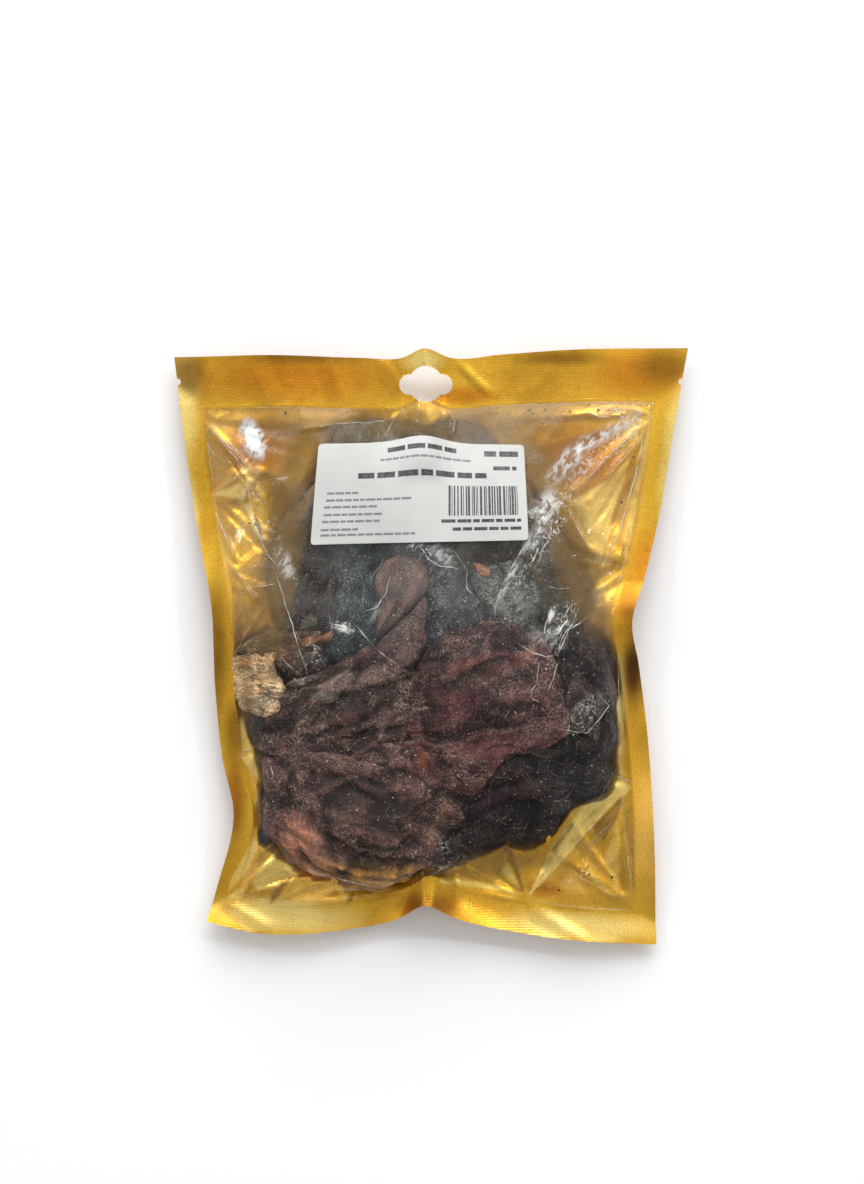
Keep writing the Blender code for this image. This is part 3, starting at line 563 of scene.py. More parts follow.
# Fleshes: dark, middle, light and dust colours as sRGB bytes, share of dust, strength of the fibre streaks,
# share of the full relief, and blushes of another colour as x, y, half length, half width, heading, strength
# and colour
Flesh = namedtuple("Flesh", "dark mid light dust dust_share streaks relief blushes")
FLESH = {
    "olive": Flesh(
        (34, 33, 27), (58, 57, 46), (84, 80, 62), (124, 120, 98), 0.3, 0.05, 0.35,
        [
            (-73.0, 40.0, 40.0, 9.0, 86.0, 0.9, (140, 110, 62)),
            (-60.0, 76.0, 22.0, 11.0, 52.0, 0.9, (140, 108, 64)),
        ],
    ),
    "blue_black": Flesh(
        (12, 19, 24), (27, 38, 45), (50, 64, 70), (126, 138, 140), 0.6, 0.05, 0.5,
        [(-24.0, 103.0, 30.0, 9.0, 0.0, 0.9, (104, 88, 56))],
    ),
    "umber": Flesh(
        (32, 28, 24), (52, 47, 39), (80, 70, 54), (126, 112, 88), 0.4, 0.05, 0.5,
        [
            (67.0, 46.0, 38.0, 10.0, -62.0, 0.9, (140, 112, 62)),
            (44.0, 84.0, 24.0, 13.0, -48.0, 0.9, (144, 108, 64)),
            (15.0, 103.0, 22.0, 9.0, 0.0, 0.9, (106, 88, 56)),
        ],
    ),
    "mottled": Flesh(
        (28, 19, 17), (62, 43, 34), (98, 70, 52), (176, 140, 106), 0.9, 0.2, 0.4,
        [
            (-86.0, 4.0, 12.0, 5.0, 20.0, 0.8, (112, 86, 48)),
            (-71.0, -1.5, 9.0, 5.0, 30.0, 0.8, (104, 62, 48)),
            (-68.0, -10.0, 7.0, 5.0, 60.0, 0.9, (30, 20, 20)),
            (-58.0, -5.0, 8.0, 5.0, 40.0, 0.8, (58, 66, 66)),
        ],
    ),
    "grey_fuzz": Flesh((18, 19, 21), (42, 42, 43), (68, 67, 66), (158, 158, 152), 0.75, 0.1, 0.4, []),
    "blue_fuzz": Flesh((14, 17, 21), (32, 36, 41), (58, 62, 66), (148, 156, 158), 0.75, 0.1, 0.5, []),
    "rose_brown": Flesh(
        (66, 48, 46), (98, 73, 68), (114, 88, 82), (142, 124, 116), 0.4, 0.05, 0.2,
        [(-17.5, 26.0, 6.5, 5.0, 20.0, 0.8, (48, 50, 52))],
    ),
    "mauve": Flesh((44, 27, 30), (78, 54, 55), (100, 76, 73), (146, 128, 120), 0.6, 0.08, 0.3, []),
    "orange": Flesh((92, 58, 38), (146, 96, 64), (180, 126, 88), (206, 164, 128), 0.7, 0.3, 0.4, []),
    "tan": Flesh(
        (86, 66, 46), (218, 172, 118), (246, 208, 156), (250, 226, 186), 0.8, 0.55, 0.3,
        [
            (-84.0, -5.6, 14.0, 4.0, 4.0, 0.9, (226, 152, 94)),
            (-76.0, -31.6, 9.0, 2.6, -4.0, 0.8, (226, 166, 114)),
            (-74.4, -9.4, 7.0, 3.6, 42.0, 1.0, (62, 44, 42)),
            (-93.0, -15.0, 16.0, 5.0, 90.0, 0.9, (176, 134, 66)),
            (-79.6, -18.6, 8.0, 2.6, -8.0, 1.0, (66, 56, 42)),
            (-77.6, -24.0, 7.0, 2.4, -10.0, 1.0, (70, 62, 48)),
            (-83.0, -27.6, 8.0, 2.2, -6.0, 0.9, (84, 70, 50)),
            (-81.0, -31.2, 6.0, 1.8, -8.0, 0.9, (92, 72, 50)),
            (-90.0, -27.3, 5.0, 4.0, 60.0, 0.8, (122, 98, 54)),
        ],
    ),
    "maroon": Flesh((12, 5, 7), (32, 16, 19), (50, 30, 31), (90, 74, 70), 0.3, 0.12, 1.0, []),
    "ash_brown": Flesh(
        (26, 14, 19), (61, 36, 39), (91, 63, 61), (156, 130, 118), 0.76, 0.2, 0.9,
        [
            (-46.0, -15.0, 30.0, 6.0, 12.0, 0.6, (112, 98, 90)),
            (-50.0, -23.0, 16.0, 3.0, -14.0, 0.8, (86, 92, 84)),
            (-54.0, -38.0, 18.0, 5.0, 14.0, 0.5, (98, 66, 46)),
            (-17.0, -38.0, 13.0, 7.0, 84.0, 0.6, (104, 74, 70)),
            (-32.0, -45.0, 10.0, 5.0, 0.0, 0.9, (16, 14, 19)),
            (-46.0, -28.5, 24.0, 3.0, 6.0, 0.7, (26, 20, 23)),
        ],
    ),
    "plum": Flesh(
        (26, 11, 17), (66, 31, 37), (102, 61, 61), (156, 120, 112), 0.62, 0.22, 0.6,
        [
            (22.0, 2.0, 34.0, 9.0, 10.0, 1.0, (24, 18, 26)),
            # The next dark blush is painted shadow in the cleft between this piece and the left ones.
            (-3.0, -24.0, 24.0, 6.0, 90.0, 0.9, (34, 13, 20)),
            (20.0, -9.0, 14.0, 6.0, 8.0, 0.8, (120, 68, 46)),
            (43.0, -5.0, 14.0, 3.6, 32.0, 0.8, (142, 88, 58)),
            (-3.5, -49.0, 12.0, 3.6, 90.0, 0.8, (130, 70, 38)),
            (30.0, -46.0, 30.0, 6.0, 14.0, 0.6, (118, 76, 70)),
        ],
    ),
    "dark_grey": Flesh((13, 8, 11), (33, 20, 23), (58, 41, 42), (114, 94, 88), 0.7, 0.2, 1.0, []),
    "black": Flesh(
        (7, 4, 6), (19, 11, 14), (38, 25, 27), (90, 72, 62), 0.42, 0.15, 1.0,
        [(40.0, -68.0, 26.0, 12.0, 20.0, 0.6, (56, 20, 31))],
    ),
    "brown": Flesh(
        (31, 15, 19), (68, 38, 41), (102, 67, 63), (154, 120, 108), 0.76, 0.2, 0.9,
        [
            (-62.0, -87.0, 12.0, 9.0, -60.0, 0.75, (160, 98, 76)),
            (-60.0, -98.0, 19.0, 12.0, -45.0, 1.0, (206, 138, 102)),
            (-43.0, -101.0, 20.0, 8.0, -30.0, 0.9, (186, 142, 132)),
            (-24.0, -110.0, 38.0, 9.0, -8.0, 1.0, (255, 182, 78)),
            (-42.0, -107.6, 9.0, 1.7, -22.0, 1.0, (58, 34, 26)),
            (-27.0, -110.6, 11.0, 1.5, -4.0, 1.0, (64, 38, 28)),
            (-11.0, -109.4, 9.0, 1.7, 14.0, 1.0, (54, 32, 26)),
            (-33.0, -104.8, 8.0, 1.4, -10.0, 0.9, (66, 40, 30)),
            (2.0, -86.0, 16.0, 4.0, 62.0, 0.8, (124, 94, 70)),
            (-44.0, -80.0, 14.0, 8.0, -30.0, 0.6, (78, 68, 54)),
            (-24.0, -95.0, 22.0, 4.0, 0.0, 0.9, (36, 32, 28)),
            (-3.0, -58.0, 9.0, 5.0, 90.0, 0.7, (112, 64, 42)),
            (-46.0, -55.0, 22.0, 5.0, -2.0, 0.5, (98, 80, 70)),
            (-66.0, -60.0, 5.0, 4.0, 0.0, 0.8, (52, 50, 54)),
        ],
    ),
}
BLUSH_UNEVEN = 1.6
GRIT = (198, 186, 172)
PALE_CRUMBS = (226, 218, 204)
HAIR_CORE = 0.03
HAIR_RIM = 0.11

# The gold as sRGB bytes: its plain yellow, the orange that it varies to, the painted highlight and painted
# shade of its facets, the facet value at which these are reached, and the grease that mottles it in the
# window
GOLD_YELLOW = (232, 182, 58)
GOLD_ORANGE = (214, 146, 36)
FACET_PAINTED_HIGHLIGHT = (255, 218, 118)
FACET_PAINTED_SHADE = (118, 80, 26)
FACET_FULL = 0.75
GOLD_GREASE = (160, 112, 56)

# Tones of the gold beside these, mostly painted reflections: sRGB bytes, strength, and the fields that have
# the tone, as x, y, half length, half width, heading. They are a deep orange, partly the gold's own tone and
# partly darker painted reflection, a pale yellow and a peach of painted highlight, and a bronze and two
# browns of painted shade.
GOLD_TONES_AND_REFLECTIONS = [
    ((200, 124, 26), 0.85, [
        (-66.0, 131.0, 62.0, 17.0, 0.0), (100.0, 133.0, 30.0, 15.0, 0.0), (106.0, 34.0, 14.0, 28.0, 0.0),
        (96.0, 18.0, 12.0, 14.0, 0.0), (-84.0, 96.0, 24.0, 20.0, 0.0), (74.0, 92.0, 34.0, 22.0, -20.0),
        (-76.0, -116.0, 12.0, 8.0, 20.0), (0.0, -126.0, 22.0, 8.0, 0.0), (12.0, 122.0, 30.0, 6.0, 0.0),
        (56.0, -118.0, 14.0, 6.0, 0.0),
    ]),
    ((255, 226, 134), 0.9, [
        (-120.0, 116.0, 9.0, 34.0, 0.0), (-118.0, 70.0, 6.0, 30.0, 10.0), (118.0, 92.0, 7.0, 40.0, -6.0),
        (-70.0, -130.0, 44.0, 10.0, -6.0), (72.0, -136.0, 44.0, 8.0, -4.0), (-4.0, 139.0, 12.0, 6.0, 0.0),
        (92.0, -30.0, 4.0, 34.0, 0.0),
    ]),
    ((255, 198, 90), 1.0, [
        (106.0, -86.0, 11.0, 42.0, 0.0), (69.0, -116.0, 8.0, 6.0, 0.0), (-51.0, -120.0, 10.0, 5.0, 0.0),
        (-72.0, -114.0, 26.0, 9.0, -12.0),
    ]),
    ((142, 98, 28), 0.8, [
        (114.0, 136.0, 18.0, 12.0, 0.0), (-118.0, 132.0, 12.0, 14.0, 0.0), (-1.0, -124.0, 22.0, 9.0, 0.0),
        (-104.0, 0.0, 7.0, 44.0, 0.0), (-60.0, 141.0, 40.0, 5.0, 0.0), (62.0, 140.0, 26.0, 5.0, 0.0),
        (97.0, 20.0, 9.0, 12.0, 0.0), (-95.0, -40.0, 7.0, 20.0, 0.0),
    ]),
    ((150, 86, 20), 0.85, [(-96.0, -74.0, 8.0, 24.0, 0.0)]),
    ((84, 50, 24), 0.95, [(98.0, -12.0, 8.0, 30.0, 0.0)]),
]
GOLD_UNEVEN = 0.7

# Relief of the gold: pitch of the ribs in the end seals and of the dots in the side seals, height of both and
# of the crumples in the window beside the fine grain, and the heading of the crumples and of the facets'
# streaks
RIB_PITCH = 1.25
DOT_PITCH = 1.15
EMBOSS_RISE = 0.18
CRUMPLE_RISE = 11.0
CRUMPLE_HEADING = 60.0

# The film's smears as sRGB bytes: grease inside it, and the white of its crinkles and painted highlights.
# Then the height over which its thin veil of painted sheen comes in, from the fish upwards, and how dense
# that gets.
FILM_GREASE = (128, 102, 62)
FILM_SCATTER_AND_HIGHLIGHT = (232, 232, 228)
SHEEN_VEIL_RANGE = (-16.0, 28.0)
SHEEN_VEIL_SHARE = 0.022

# Printed lines on the label, as bars in millimetres from its lower left corner: left end, right end, height
# of the middle, half height, shade. Then the stripes: left, right, lower and upper end, and their widths and
# gaps to draw from. Then the inks and the paper as sRGB bytes.
PRINT_LINES = [
    (35.4, 72.2, 44.6, 1.1, "black"), (32.0, 77.0, 40.2, 0.5, "grey"), (21.3, 84.8, 32.8, 1.35, "black"),
    (83.9, 101.0, 44.0, 1.4, "black"), (88.2, 99.9, 36.6, 1.0, "black"), (62.6, 101.0, 10.2, 0.8, "black"),
    (68.0, 101.0, 6.2, 0.8, "black"), (6.3, 22.3, 24.6, 0.55, "grey"), (6.0, 48.0, 21.2, 0.55, "grey"),
    (5.3, 32.5, 17.9, 0.55, "grey"), (5.3, 34.0, 14.2, 0.55, "grey"), (4.9, 32.9, 10.9, 0.55, "grey"),
    (4.4, 22.7, 7.0, 0.55, "grey"), (4.4, 50.4, 4.4, 0.55, "grey"),
]
STRIPES = (66.0, 100.0, 12.8, 27.5)
STRIPE_WIDTHS = [0.35, 0.35, 0.7, 1.05]
STRIPE_GAPS = [0.35, 0.5, 0.7, 0.95]
PRINT_LIFT = 0.05
PRINT_THICK = 0.03
PRINT_STEP = 1.5
INKS = {"black": (46, 47, 50), "grey": (122, 123, 126)}
FADED_INK = (150, 150, 152)
PAPER_LIGHT = (201, 201, 197)
PAPER_GREY = (192, 193, 190)

# Loose fibres and flakes on the fish, and dark crumbs under the film: the two shades of each as sRGB bytes,
# how many fibres and flakes are tried, how the fibres spread and bend in radians and the range of their steps
# and thickness, how far they lie over the fish and stay below the film, the step in height at which a fibre
# would hang free and is left out, the same for the flakes with their sizes, and where the crumbs are
SCRAP_SHADES = {
    "fibre": [(196, 180, 166), (110, 94, 84)],
    "flake": [(196, 178, 156), (112, 90, 76)],
    "crumb": [(52, 38, 28), (26, 20, 18)],
}
FIBRES = 1500
FLAKES = 2200
FIBRE_STEPS = 6
FIBRE_SPREAD = 0.9
FIBRE_BEND = 0.14
FIBRE_STEP = (0.4, 2.2)
FIBRE_THICK = (0.02, 0.05)
FIBRE_LIFT = 0.07
FIBRE_CLEARANCE = 0.2
FIBRE_BREAK = 1.5
FLAKE_SIZE = 0.16
FLAKE_SPREAD = 0.3
FLAKE_LIFT = 0.05
FLAKE_CLEARANCE = 0.35
CRUMBS = [
    (-70.9, 113.6), (7.6, 113.8), (31.9, 113.8), (47.9, 115.0), (55.2, 115.0), (67.3, 114.2), (80.9, 114.8),
    (58.1, 82.0), (54.2, 75.6), (47.9, 73.7), (101.2, 47.5), (-62.0, 104.0), (-78.0, 97.0), (98.0, 92.0),
    (76.5, -110.0), (62.0, -118.0), (-30.0, -119.0), (88.0, -112.0), (-88.0, 60.0), (92.0, 70.0),
]

# Stage, in metres: half the floor's width and how far it is below the pouch, the camera's height over the
# level that it frames, and the centre and longer side of what it frames there. Then the lights, each as x, y,
# z, size and power.
FLOOR_HALF = 4.0
FLOOR_DROP = 0.0003
CAMERA_HEIGHT = 1.0
VIEW_LEVEL = 0.015
VIEW_CENTRE = (0.0004, 0.0267)
VIEW_HEIGHT = 0.574
LIGHTS = {
    "softbox": (0.3, 2.9, 2.0, 2.6, 100.0),
    "spot_1": (-1.7, 1.6, 2.0, 0.22, 8.0),
    "spot_2": (1.9, 1.2, 2.1, 0.22, 8.0),
}

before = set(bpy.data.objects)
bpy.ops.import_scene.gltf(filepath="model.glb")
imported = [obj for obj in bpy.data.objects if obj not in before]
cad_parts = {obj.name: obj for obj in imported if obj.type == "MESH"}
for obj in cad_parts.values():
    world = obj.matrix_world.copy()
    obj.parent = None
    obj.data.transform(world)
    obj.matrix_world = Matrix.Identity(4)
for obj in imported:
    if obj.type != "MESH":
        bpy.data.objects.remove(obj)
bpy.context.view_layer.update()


def linear(colour):
    """A linear colour from sRGB bytes."""
    share = np.array(colour) / 255
    light = np.where(share <= 0.04045, share / 12.92, ((share + 0.055) / 1.055) ** 2.4)
    return (*light.tolist(), 1.0)


def smoothstep(low, high, value):
    t = np.clip((value - low) / (high - low), 0, 1)
    return t * t * (3 - 2 * t)


def smooth_curve(points, share):
    """Points at the given shares of the way along a smooth cubic curve through the control points."""
    points = np.array(points, float)
    chords = np.linalg.norm(np.diff(points[:, :2], axis=0), axis=1)
    knots = np.concatenate([[0.0], np.cumsum(chords)]) / chords.sum()
    slopes = np.gradient(points, knots, axis=0)
    at = np.clip(np.searchsorted(knots, share, side="right") - 1, 0, len(knots) - 2)
    width = (knots[at + 1] - knots[at])[:, None]
    t = (np.asarray(share) - knots[at])[:, None] / width
    start = (2 * t**3 - 3 * t**2 + 1) * points[at] + (t**3 - 2 * t**2 + t) * width * slopes[at]
    end = (3 * t**2 - 2 * t**3) * points[at + 1] + (t**3 - t**2) * width * slopes[at + 1]
    return start + end


def grid_shares(low_seal, high_seal, length, low_cells, window_cells, high_cells):
    """Shares of the way across the pouch at which grid lines run, with lines on both seals' inner edges."""
    low, high = low_seal / length, 1 - high_seal / length
    return np.concatenate(
        [
            np.linspace(0, low, low_cells + 1)[:-1],
            np.linspace(low, high, window_cells + 1)[:-1],
            np.linspace(high, 1, high_cells + 1),
        ]
    )


def seal_surface(across, along):
    """The surface that the four edges span, as an array of points indexed by column and row."""
    u, v = across[:, None, None], along[None, :, None]
    left, right = smooth_curve(LEFT_EDGE, along)[None], smooth_curve(RIGHT_EDGE, along)[None]
    bottom, top = smooth_curve(BOTTOM_EDGE, across)[:, None], smooth_curve(TOP_EDGE, across)[:, None]
    corners = (
        (1 - u) * (1 - v) * bottom[:1]
        + u * (1 - v) * bottom[-1:]
        + (1 - u) * v * top[:1]
        + u * v * top[-1:]
    )
    return (1 - u) * left + u * right + (1 - v) * bottom + v * top - corners


def mesh_tree(*meshes):
    """A ray-casting tree of one or more meshes, in millimetres."""
    points, faces = [], []
    for mesh in meshes:
        faces += [tuple(v + len(points) for v in p.vertices) for p in mesh.polygons]
        points += [v.co / MM for v in mesh.vertices]
    return BVHTree.FromPolygons(points, faces)


def cast(tree, plan, from_above=True):
    """Height at which a straight ray meets the tree at each plan position, and nan where it meets nothing."""
    start, way = (CAST_HEIGHT, -1) if from_above else (-CAST_HEIGHT, 1)
    heights = []
    for x, y in plan.reshape(-1, 2).tolist():
        hit = tree.ray_cast(Vector((x, y, start)), Vector((0, 0, way)))[0]
        heights.append(math.nan if hit is None else hit.z)
    return np.array(heights).reshape(plan.shape[:-1])


def blurred(field, passes, where=None):
    """A field smoothed by repeated averaging with its neighbours, only where asked."""
    field = field.copy()
    for _ in range(passes):
        wide = np.pad(field, 1, mode="edge")
        mean = (
            4 * wide[1:-1, 1:-1] + wide[:-2, 1:-1] + wide[2:, 1:-1] + wide[1:-1, :-2] + wide[1:-1, 2:]
        ) / 8
        field = mean if where is None else np.where(where, mean, field)
    return field


def facets(plan, spacing, height, seed, heading=0.0, stretch=1.0):
    """Heights of a crumpled sheet: flat facets between scattered points, longer along the heading."""
    draw = np.random.default_rng(seed)
    turn = math.radians(heading)
    turned = plan @ np.array([[math.cos(turn), -math.sin(turn)], [math.sin(turn), math.cos(turn)]])
    turned = turned / (stretch, 1.0)
    low = turned.reshape(-1, 2).min(0) - 2 * spacing
    high = turned.reshape(-1, 2).max(0) + 2 * spacing
    counts = np.ceil((high - low) / spacing).astype(int)
    cells = np.stack(np.meshgrid(*map(np.arange, counts), indexing="ij"), -1).reshape(-1, 2)
    points = low + (cells + draw.uniform(0.05, 0.95, cells.shape)) * spacing
    heights = draw.uniform(-height, height, len(points))
    corners, _, faces, origins, _, _ = delaunay_2d_cdt([Vector(p) for p in points], [], [], 0, 1e-6)
    raised = [(c.x, c.y, heights[o[0]]) for c, o in zip(corners, origins)]
    return cast(BVHTree.FromPolygons(raised, faces), turned)


def fan(plan, row, seed):
    """Creases that spread from a point on a seal and run out at their reach."""
    x, y, first, last, count, reach, height = row
    draw = np.random.default_rng(seed)
    run = plan - (x, y)
    distance = np.linalg.norm(run, axis=-1)
    middle = (first + last) / 2
    angle = (np.degrees(np.arctan2(run[..., 1], run[..., 0])) - middle + 180) % 360 - 180 + middle
    knots = np.sort(np.concatenate([[first, last], draw.uniform(first, last, 2 * count)]))
    values = np.where(np.arange(len(knots)) % 2, 1.0, -1.0) * draw.uniform(0.2, 1.0, len(knots))
    values[[0, -1]] = 0
    pleat = np.interp(angle, knots, values, left=0, right=0)
    share = distance / reach
    return height * pleat * share * 2 * (1 - smoothstep(0.35, 1.0, share))


def fold(plan, row):
    """A straight tent-shaped fold that runs out at both ends."""
    start_x, start_y, end_x, end_y, height, half = row
    run = np.array([end_x - start_x, end_y - start_y])
    length = np.linalg.norm(run)
    offset = plan - (start_x, start_y)
    share = offset @ run / length**2
    aside = np.abs(offset[..., 0] * run[1] - offset[..., 1] * run[0]) / length
    return height * np.clip(1 - np.abs(2 * share - 1) ** 3, 0, 1) * np.clip(1 - aside / half, 0, 1)


def line_distance(plan, points):
    """Distance in plan from a line of points."""
    nearest = np.full(plan.shape[:-1], np.inf)
    for start, end in zip(np.array(points[:-1]), np.array(points[1:])):
        run = end - start
        share = np.clip((plan - start) @ run / (run @ run), 0, 1)
        nearest = np.minimum(nearest, np.linalg.norm(plan - start - share[..., None] * run, axis=-1))
    return nearest


def facet_depth(plan, corners):
    """Distance in plan inside a facet's straight sides, below zero outside."""
    x, y = plan[..., 0], plan[..., 1]
    within = np.zeros(x.shape, bool)
    for (x1, y1), (x2, y2) in zip(corners, corners[1:] + corners[:1]):
        beside = x < x1 + (x2 - x1) * (y - y1) / ((y2 - y1) or 1)
        within ^= ((y1 > y) != (y2 > y)) & beside
    return line_distance(plan, corners + corners[:1]) * np.where(within, 1, -1)


def patch(plan, x, y, half_length, half_width, heading):
    """1 in the middle of a long round patch, falling to 0 at its rim."""
    turn = math.radians(heading)
    run = plan - (x, y)
    u = (run[..., 0] * math.cos(turn) + run[..., 1] * math.sin(turn)) / half_length
    v = (run[..., 1] * math.cos(turn) - run[..., 0] * math.sin(turn)) / half_width
    return 1 - smoothstep(0.35, 1.25, np.hypot(u, v))


def noise_field(plan, size, seed):
    """Smooth noise between -1 and 1 with features about as large as size."""
    values = [
        noise.noise(Vector((x / size, y / size, 13.7 * seed))) for x, y in plan.reshape(-1, 2).tolist()
    ]
    return np.array(values).reshape(plan.shape[:-1])


def closed_outline(points, count=240):
    """A closed curve through the points, rounded but still cornered."""
    points = np.array(points, float)
    ring = np.concatenate([points[-2:], points, points[:3]])
    chords = np.linalg.norm(np.diff(ring, axis=0), axis=1)
    knots = np.concatenate([[0.0], np.cumsum(chords)])
    at = np.linspace(knots[2], knots[2 + len(points)], count, endpoint=False)
    straight = np.stack([np.interp(at, knots, ring[:, n]) for n in range(2)], 1)
    return (smooth_curve(ring, at / knots[-1]) + straight) / 2


class Outline:
    """The rim of a piece in plan, as its distance from the middle in each direction."""

    def __init__(self, points):
        curve = closed_outline(points)
        self.middle = (curve.min(0) + curve.max(0)) / 2
        run = curve - self.middle
        angles = np.arctan2(run[:, 1], run[:, 0])
        order = np.argsort(angles)
        self.angles, self.radii = angles[order], np.linalg.norm(run, axis=1)[order]

    def radius(self, angle):
        return np.interp(angle, self.angles, self.radii, period=2 * math.pi)

    def share(self, plan):
        """0 in the middle and 1 on the rim."""
        run = plan - self.middle
        return np.linalg.norm(run, axis=-1) / self.radius(np.arctan2(run[..., 1], run[..., 0]))


def sheet_faces(columns, rows):
    """Quads of a closed two-sided grid: the upper side, the lower side and the rim between."""
    i, j = np.meshgrid(np.arange(columns - 1), np.arange(rows - 1), indexing="ij")
    corner = (i * rows + j).ravel()
    upper = np.stack([corner, corner + rows, corner + rows + 1, corner + 1], 1)
    lower = upper[:, ::-1] + columns * rows
    ring = [k * rows for k in range(columns - 1)]
    ring += [(columns - 1) * rows + k for k in range(rows - 1)]
    ring += [k * rows + rows - 1 for k in range(columns - 1, 0, -1)]
    ring += list(range(rows - 1, 0, -1))
    here = np.array(ring)
    after = np.roll(here, -1)
    rim = np.stack([here, here + columns * rows, after + columns * rows, after], 1)
    return np.concatenate([upper, lower, rim])


def sheet_mesh(name, plan, over, under):
    """A closed mesh between two grids of heights over the same plan."""
    points = np.concatenate([np.dstack([plan, over]).reshape(-1, 3), np.dstack([plan, under]).reshape(-1, 3)])
    return joined_mesh(name, [(points, sheet_faces(*over.shape))])


def joined_mesh(name, parts):
    """One mesh from pairs of points in millimetres and faces, smooth but for sharp rims."""
    faces, count = [], 0
    for part_points, part_faces in parts:
        faces += (np.asarray(part_faces) + count).tolist()
        count += len(part_points)
    mesh = bpy.data.meshes.new(name)
    mesh.from_pydata((np.concatenate([p for p, _ in parts]) * MM).tolist(), [], faces)
    mesh.shade_smooth()
    mesh.set_sharp_from_angle(angle=SHARP_ANGLE)
    return mesh


def tube(path, thick):
    """A closed three-sided tube along a path, finer towards both ends, as points and faces."""
    run = np.gradient(path, axis=0)
    run /= np.linalg.norm(run, axis=1)[:, None]
    aside = np.cross(run, (0.0, 0.0, 1.0))
    aside /= np.linalg.norm(aside, axis=1)[:, None]
    up = np.cross(aside, run)
    last = len(path) - 1
    width = thick * np.sin(np.linspace(0.12, math.pi - 0.12, last + 1))[:, None]
    corners = [math.pi / 2 + n * 2 * math.pi / 3 for n in range(3)]
    rings = [path + width * (math.cos(a) * aside + math.sin(a) * up) for a in corners]
    faces = [(0, 1, 2), (3 * last, 3 * last + 2, 3 * last + 1)]
    for k in range(last):
        for n in range(3):
            a, b = 3 * k + n, 3 * k + (n + 1) % 3
            faces += [(a, b + 3, b), (a, a + 3, b + 3)]
    return np.stack(rings, 1).reshape(-1, 3), np.array(faces)


def store(mesh, name, values):
    """Stores a number for each point of a mesh, for its material to read."""
    kept = mesh.attributes.new(name, "FLOAT", "POINT")
    kept.data.foreach_set("value", np.asarray(values, np.float32).ravel())


def store_grids(mesh, **grids):
    """Stores numbers for each grid point of a two-sided sheet, the same on both sides."""
    for name, values in grids.items():
        store(mesh, name, np.tile(values.ravel(), 2))


def show(name, mesh, material, replaces=None):
    """Adds a piece to the scene, riding on the pouch's one body."""
    piece = bpy.data.objects.new(name, mesh)
    bpy.context.scene.collection.objects.link(piece)
    mesh.materials.clear()
    mesh.materials.append(material)
    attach(piece, BODY)
    if replaces:
        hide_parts(replaces)
    return piece


def fill(tree, made, inputs):
    """Gives a shader node its inputs, as values or as other nodes' outputs."""
    for key, value in inputs.items():
        if isinstance(value, bpy.types.NodeSocket):
            tree.links.new(value, made.inputs[key])
        else:
            made.inputs[key].default_value = value


def node(tree, kind, inputs=None, **settings):
    """A new shader node with its inputs and its settings."""
    made = tree.nodes.new(kind)
    for key, value in settings.items():
        setattr(made, key, value)
    fill(tree, made, inputs or {})
    return made


def maths(tree, operation, first, second=0.0, clamp=False):
    inputs = {0: first, 1: second}
    return node(tree, "ShaderNodeMath", inputs, operation=operation, use_clamp=clamp).outputs[0]


def times(tree, first, second):
    return maths(tree, "MULTIPLY", first, second)


def larger(tree, first, second):
    return maths(tree, "MAXIMUM", first, second)


def total(tree, first, *others):
    """The sum of two or more numbers."""
    for other in others:
        first = maths(tree, "ADD", first, other)
    return first


def from_middle(tree, value):
    """How far noise is from its middle value, which it has along curling lines."""
    return maths(tree, "ABSOLUTE", maths(tree, "SUBTRACT", value, 0.5))


def attribute(tree, name):
    """The number that a mesh stores under this name."""
    return node(tree, "ShaderNodeAttribute", attribute_name=name).outputs["Fac"]


def texture(tree, vector, size, detail=4.0, roughness=0.55, distortion=0.0):
    """Noise with features about as large as size, in the vector's own units."""
    inputs = {
        "Vector": vector, "Scale": 1 / size, "Detail": detail, "Roughness": roughness,
        "Distortion": distortion,
    }
    return node(tree, "ShaderNodeTexNoise", inputs).outputs["Fac"]


def ramp(tree, value, low, high, to_low=0.0, to_high=1.0):
    inputs = {"Value": value, "From Min": low, "From Max": high, "To Min": to_low, "To Max": to_high}
    return node(tree, "ShaderNodeMapRange", inputs, interpolation_type="SMOOTHSTEP").outputs[0]


def blend(tree, share, first, second):
    """A colour between two, by share."""
    return node(tree, "ShaderNodeMix", {0: share, 6: first, 7: second}, data_type="RGBA").outputs[2]


def scaled(tree, colour, share):
    """A colour made darker or lighter."""
    return node(tree, "ShaderNodeVectorMath", {0: colour, "Scale": share}, operation="SCALE").outputs[0]


def layered(tree, share, under, over):
    """A surface between two, by the share of the one on top."""
    return node(tree, "ShaderNodeMixShader", {0: share, 1: under, 2: over}).outputs[0]


def matt(tree, colour):
    return node(tree, "ShaderNodeBsdfDiffuse", {"Color": linear(colour)}).outputs[0]


def millimetres(tree, heading=0.0, stretch=(1.0, 1.0, 1.0)):
    """Object coordinates in millimetres, turned so that X runs along the heading, and then stretched."""
    place = node(tree, "ShaderNodeTexCoord").outputs["Object"]
    inputs = {"Vector": place, "Rotation": (0, 0, -math.radians(heading)), "Scale": (1 / MM,) * 3}
    turned = node(tree, "ShaderNodeMapping", inputs).outputs[0]
    if stretch == (1.0, 1.0, 1.0):
        return turned
    inputs = {"Vector": turned, "Scale": tuple(1 / s for s in stretch)}
    return node(tree, "ShaderNodeMapping", inputs).outputs[0]


def new_material(name):
    """A material, its node tree and its main shader."""
    material = bpy.data.materials.new(name)
    material.use_nodes = True
    return material, material.node_tree, material.node_tree.nodes["Principled BSDF"]


def bumped(tree, height, distance, strength=1.0):
    """The normal of a surface with fine relief, which rises by distance in millimetres for a height of 1."""
    inputs = {"Height": height, "Distance": distance * MM, "Strength": strength}
    return node(tree, "ShaderNodeBump", inputs).outputs[0]


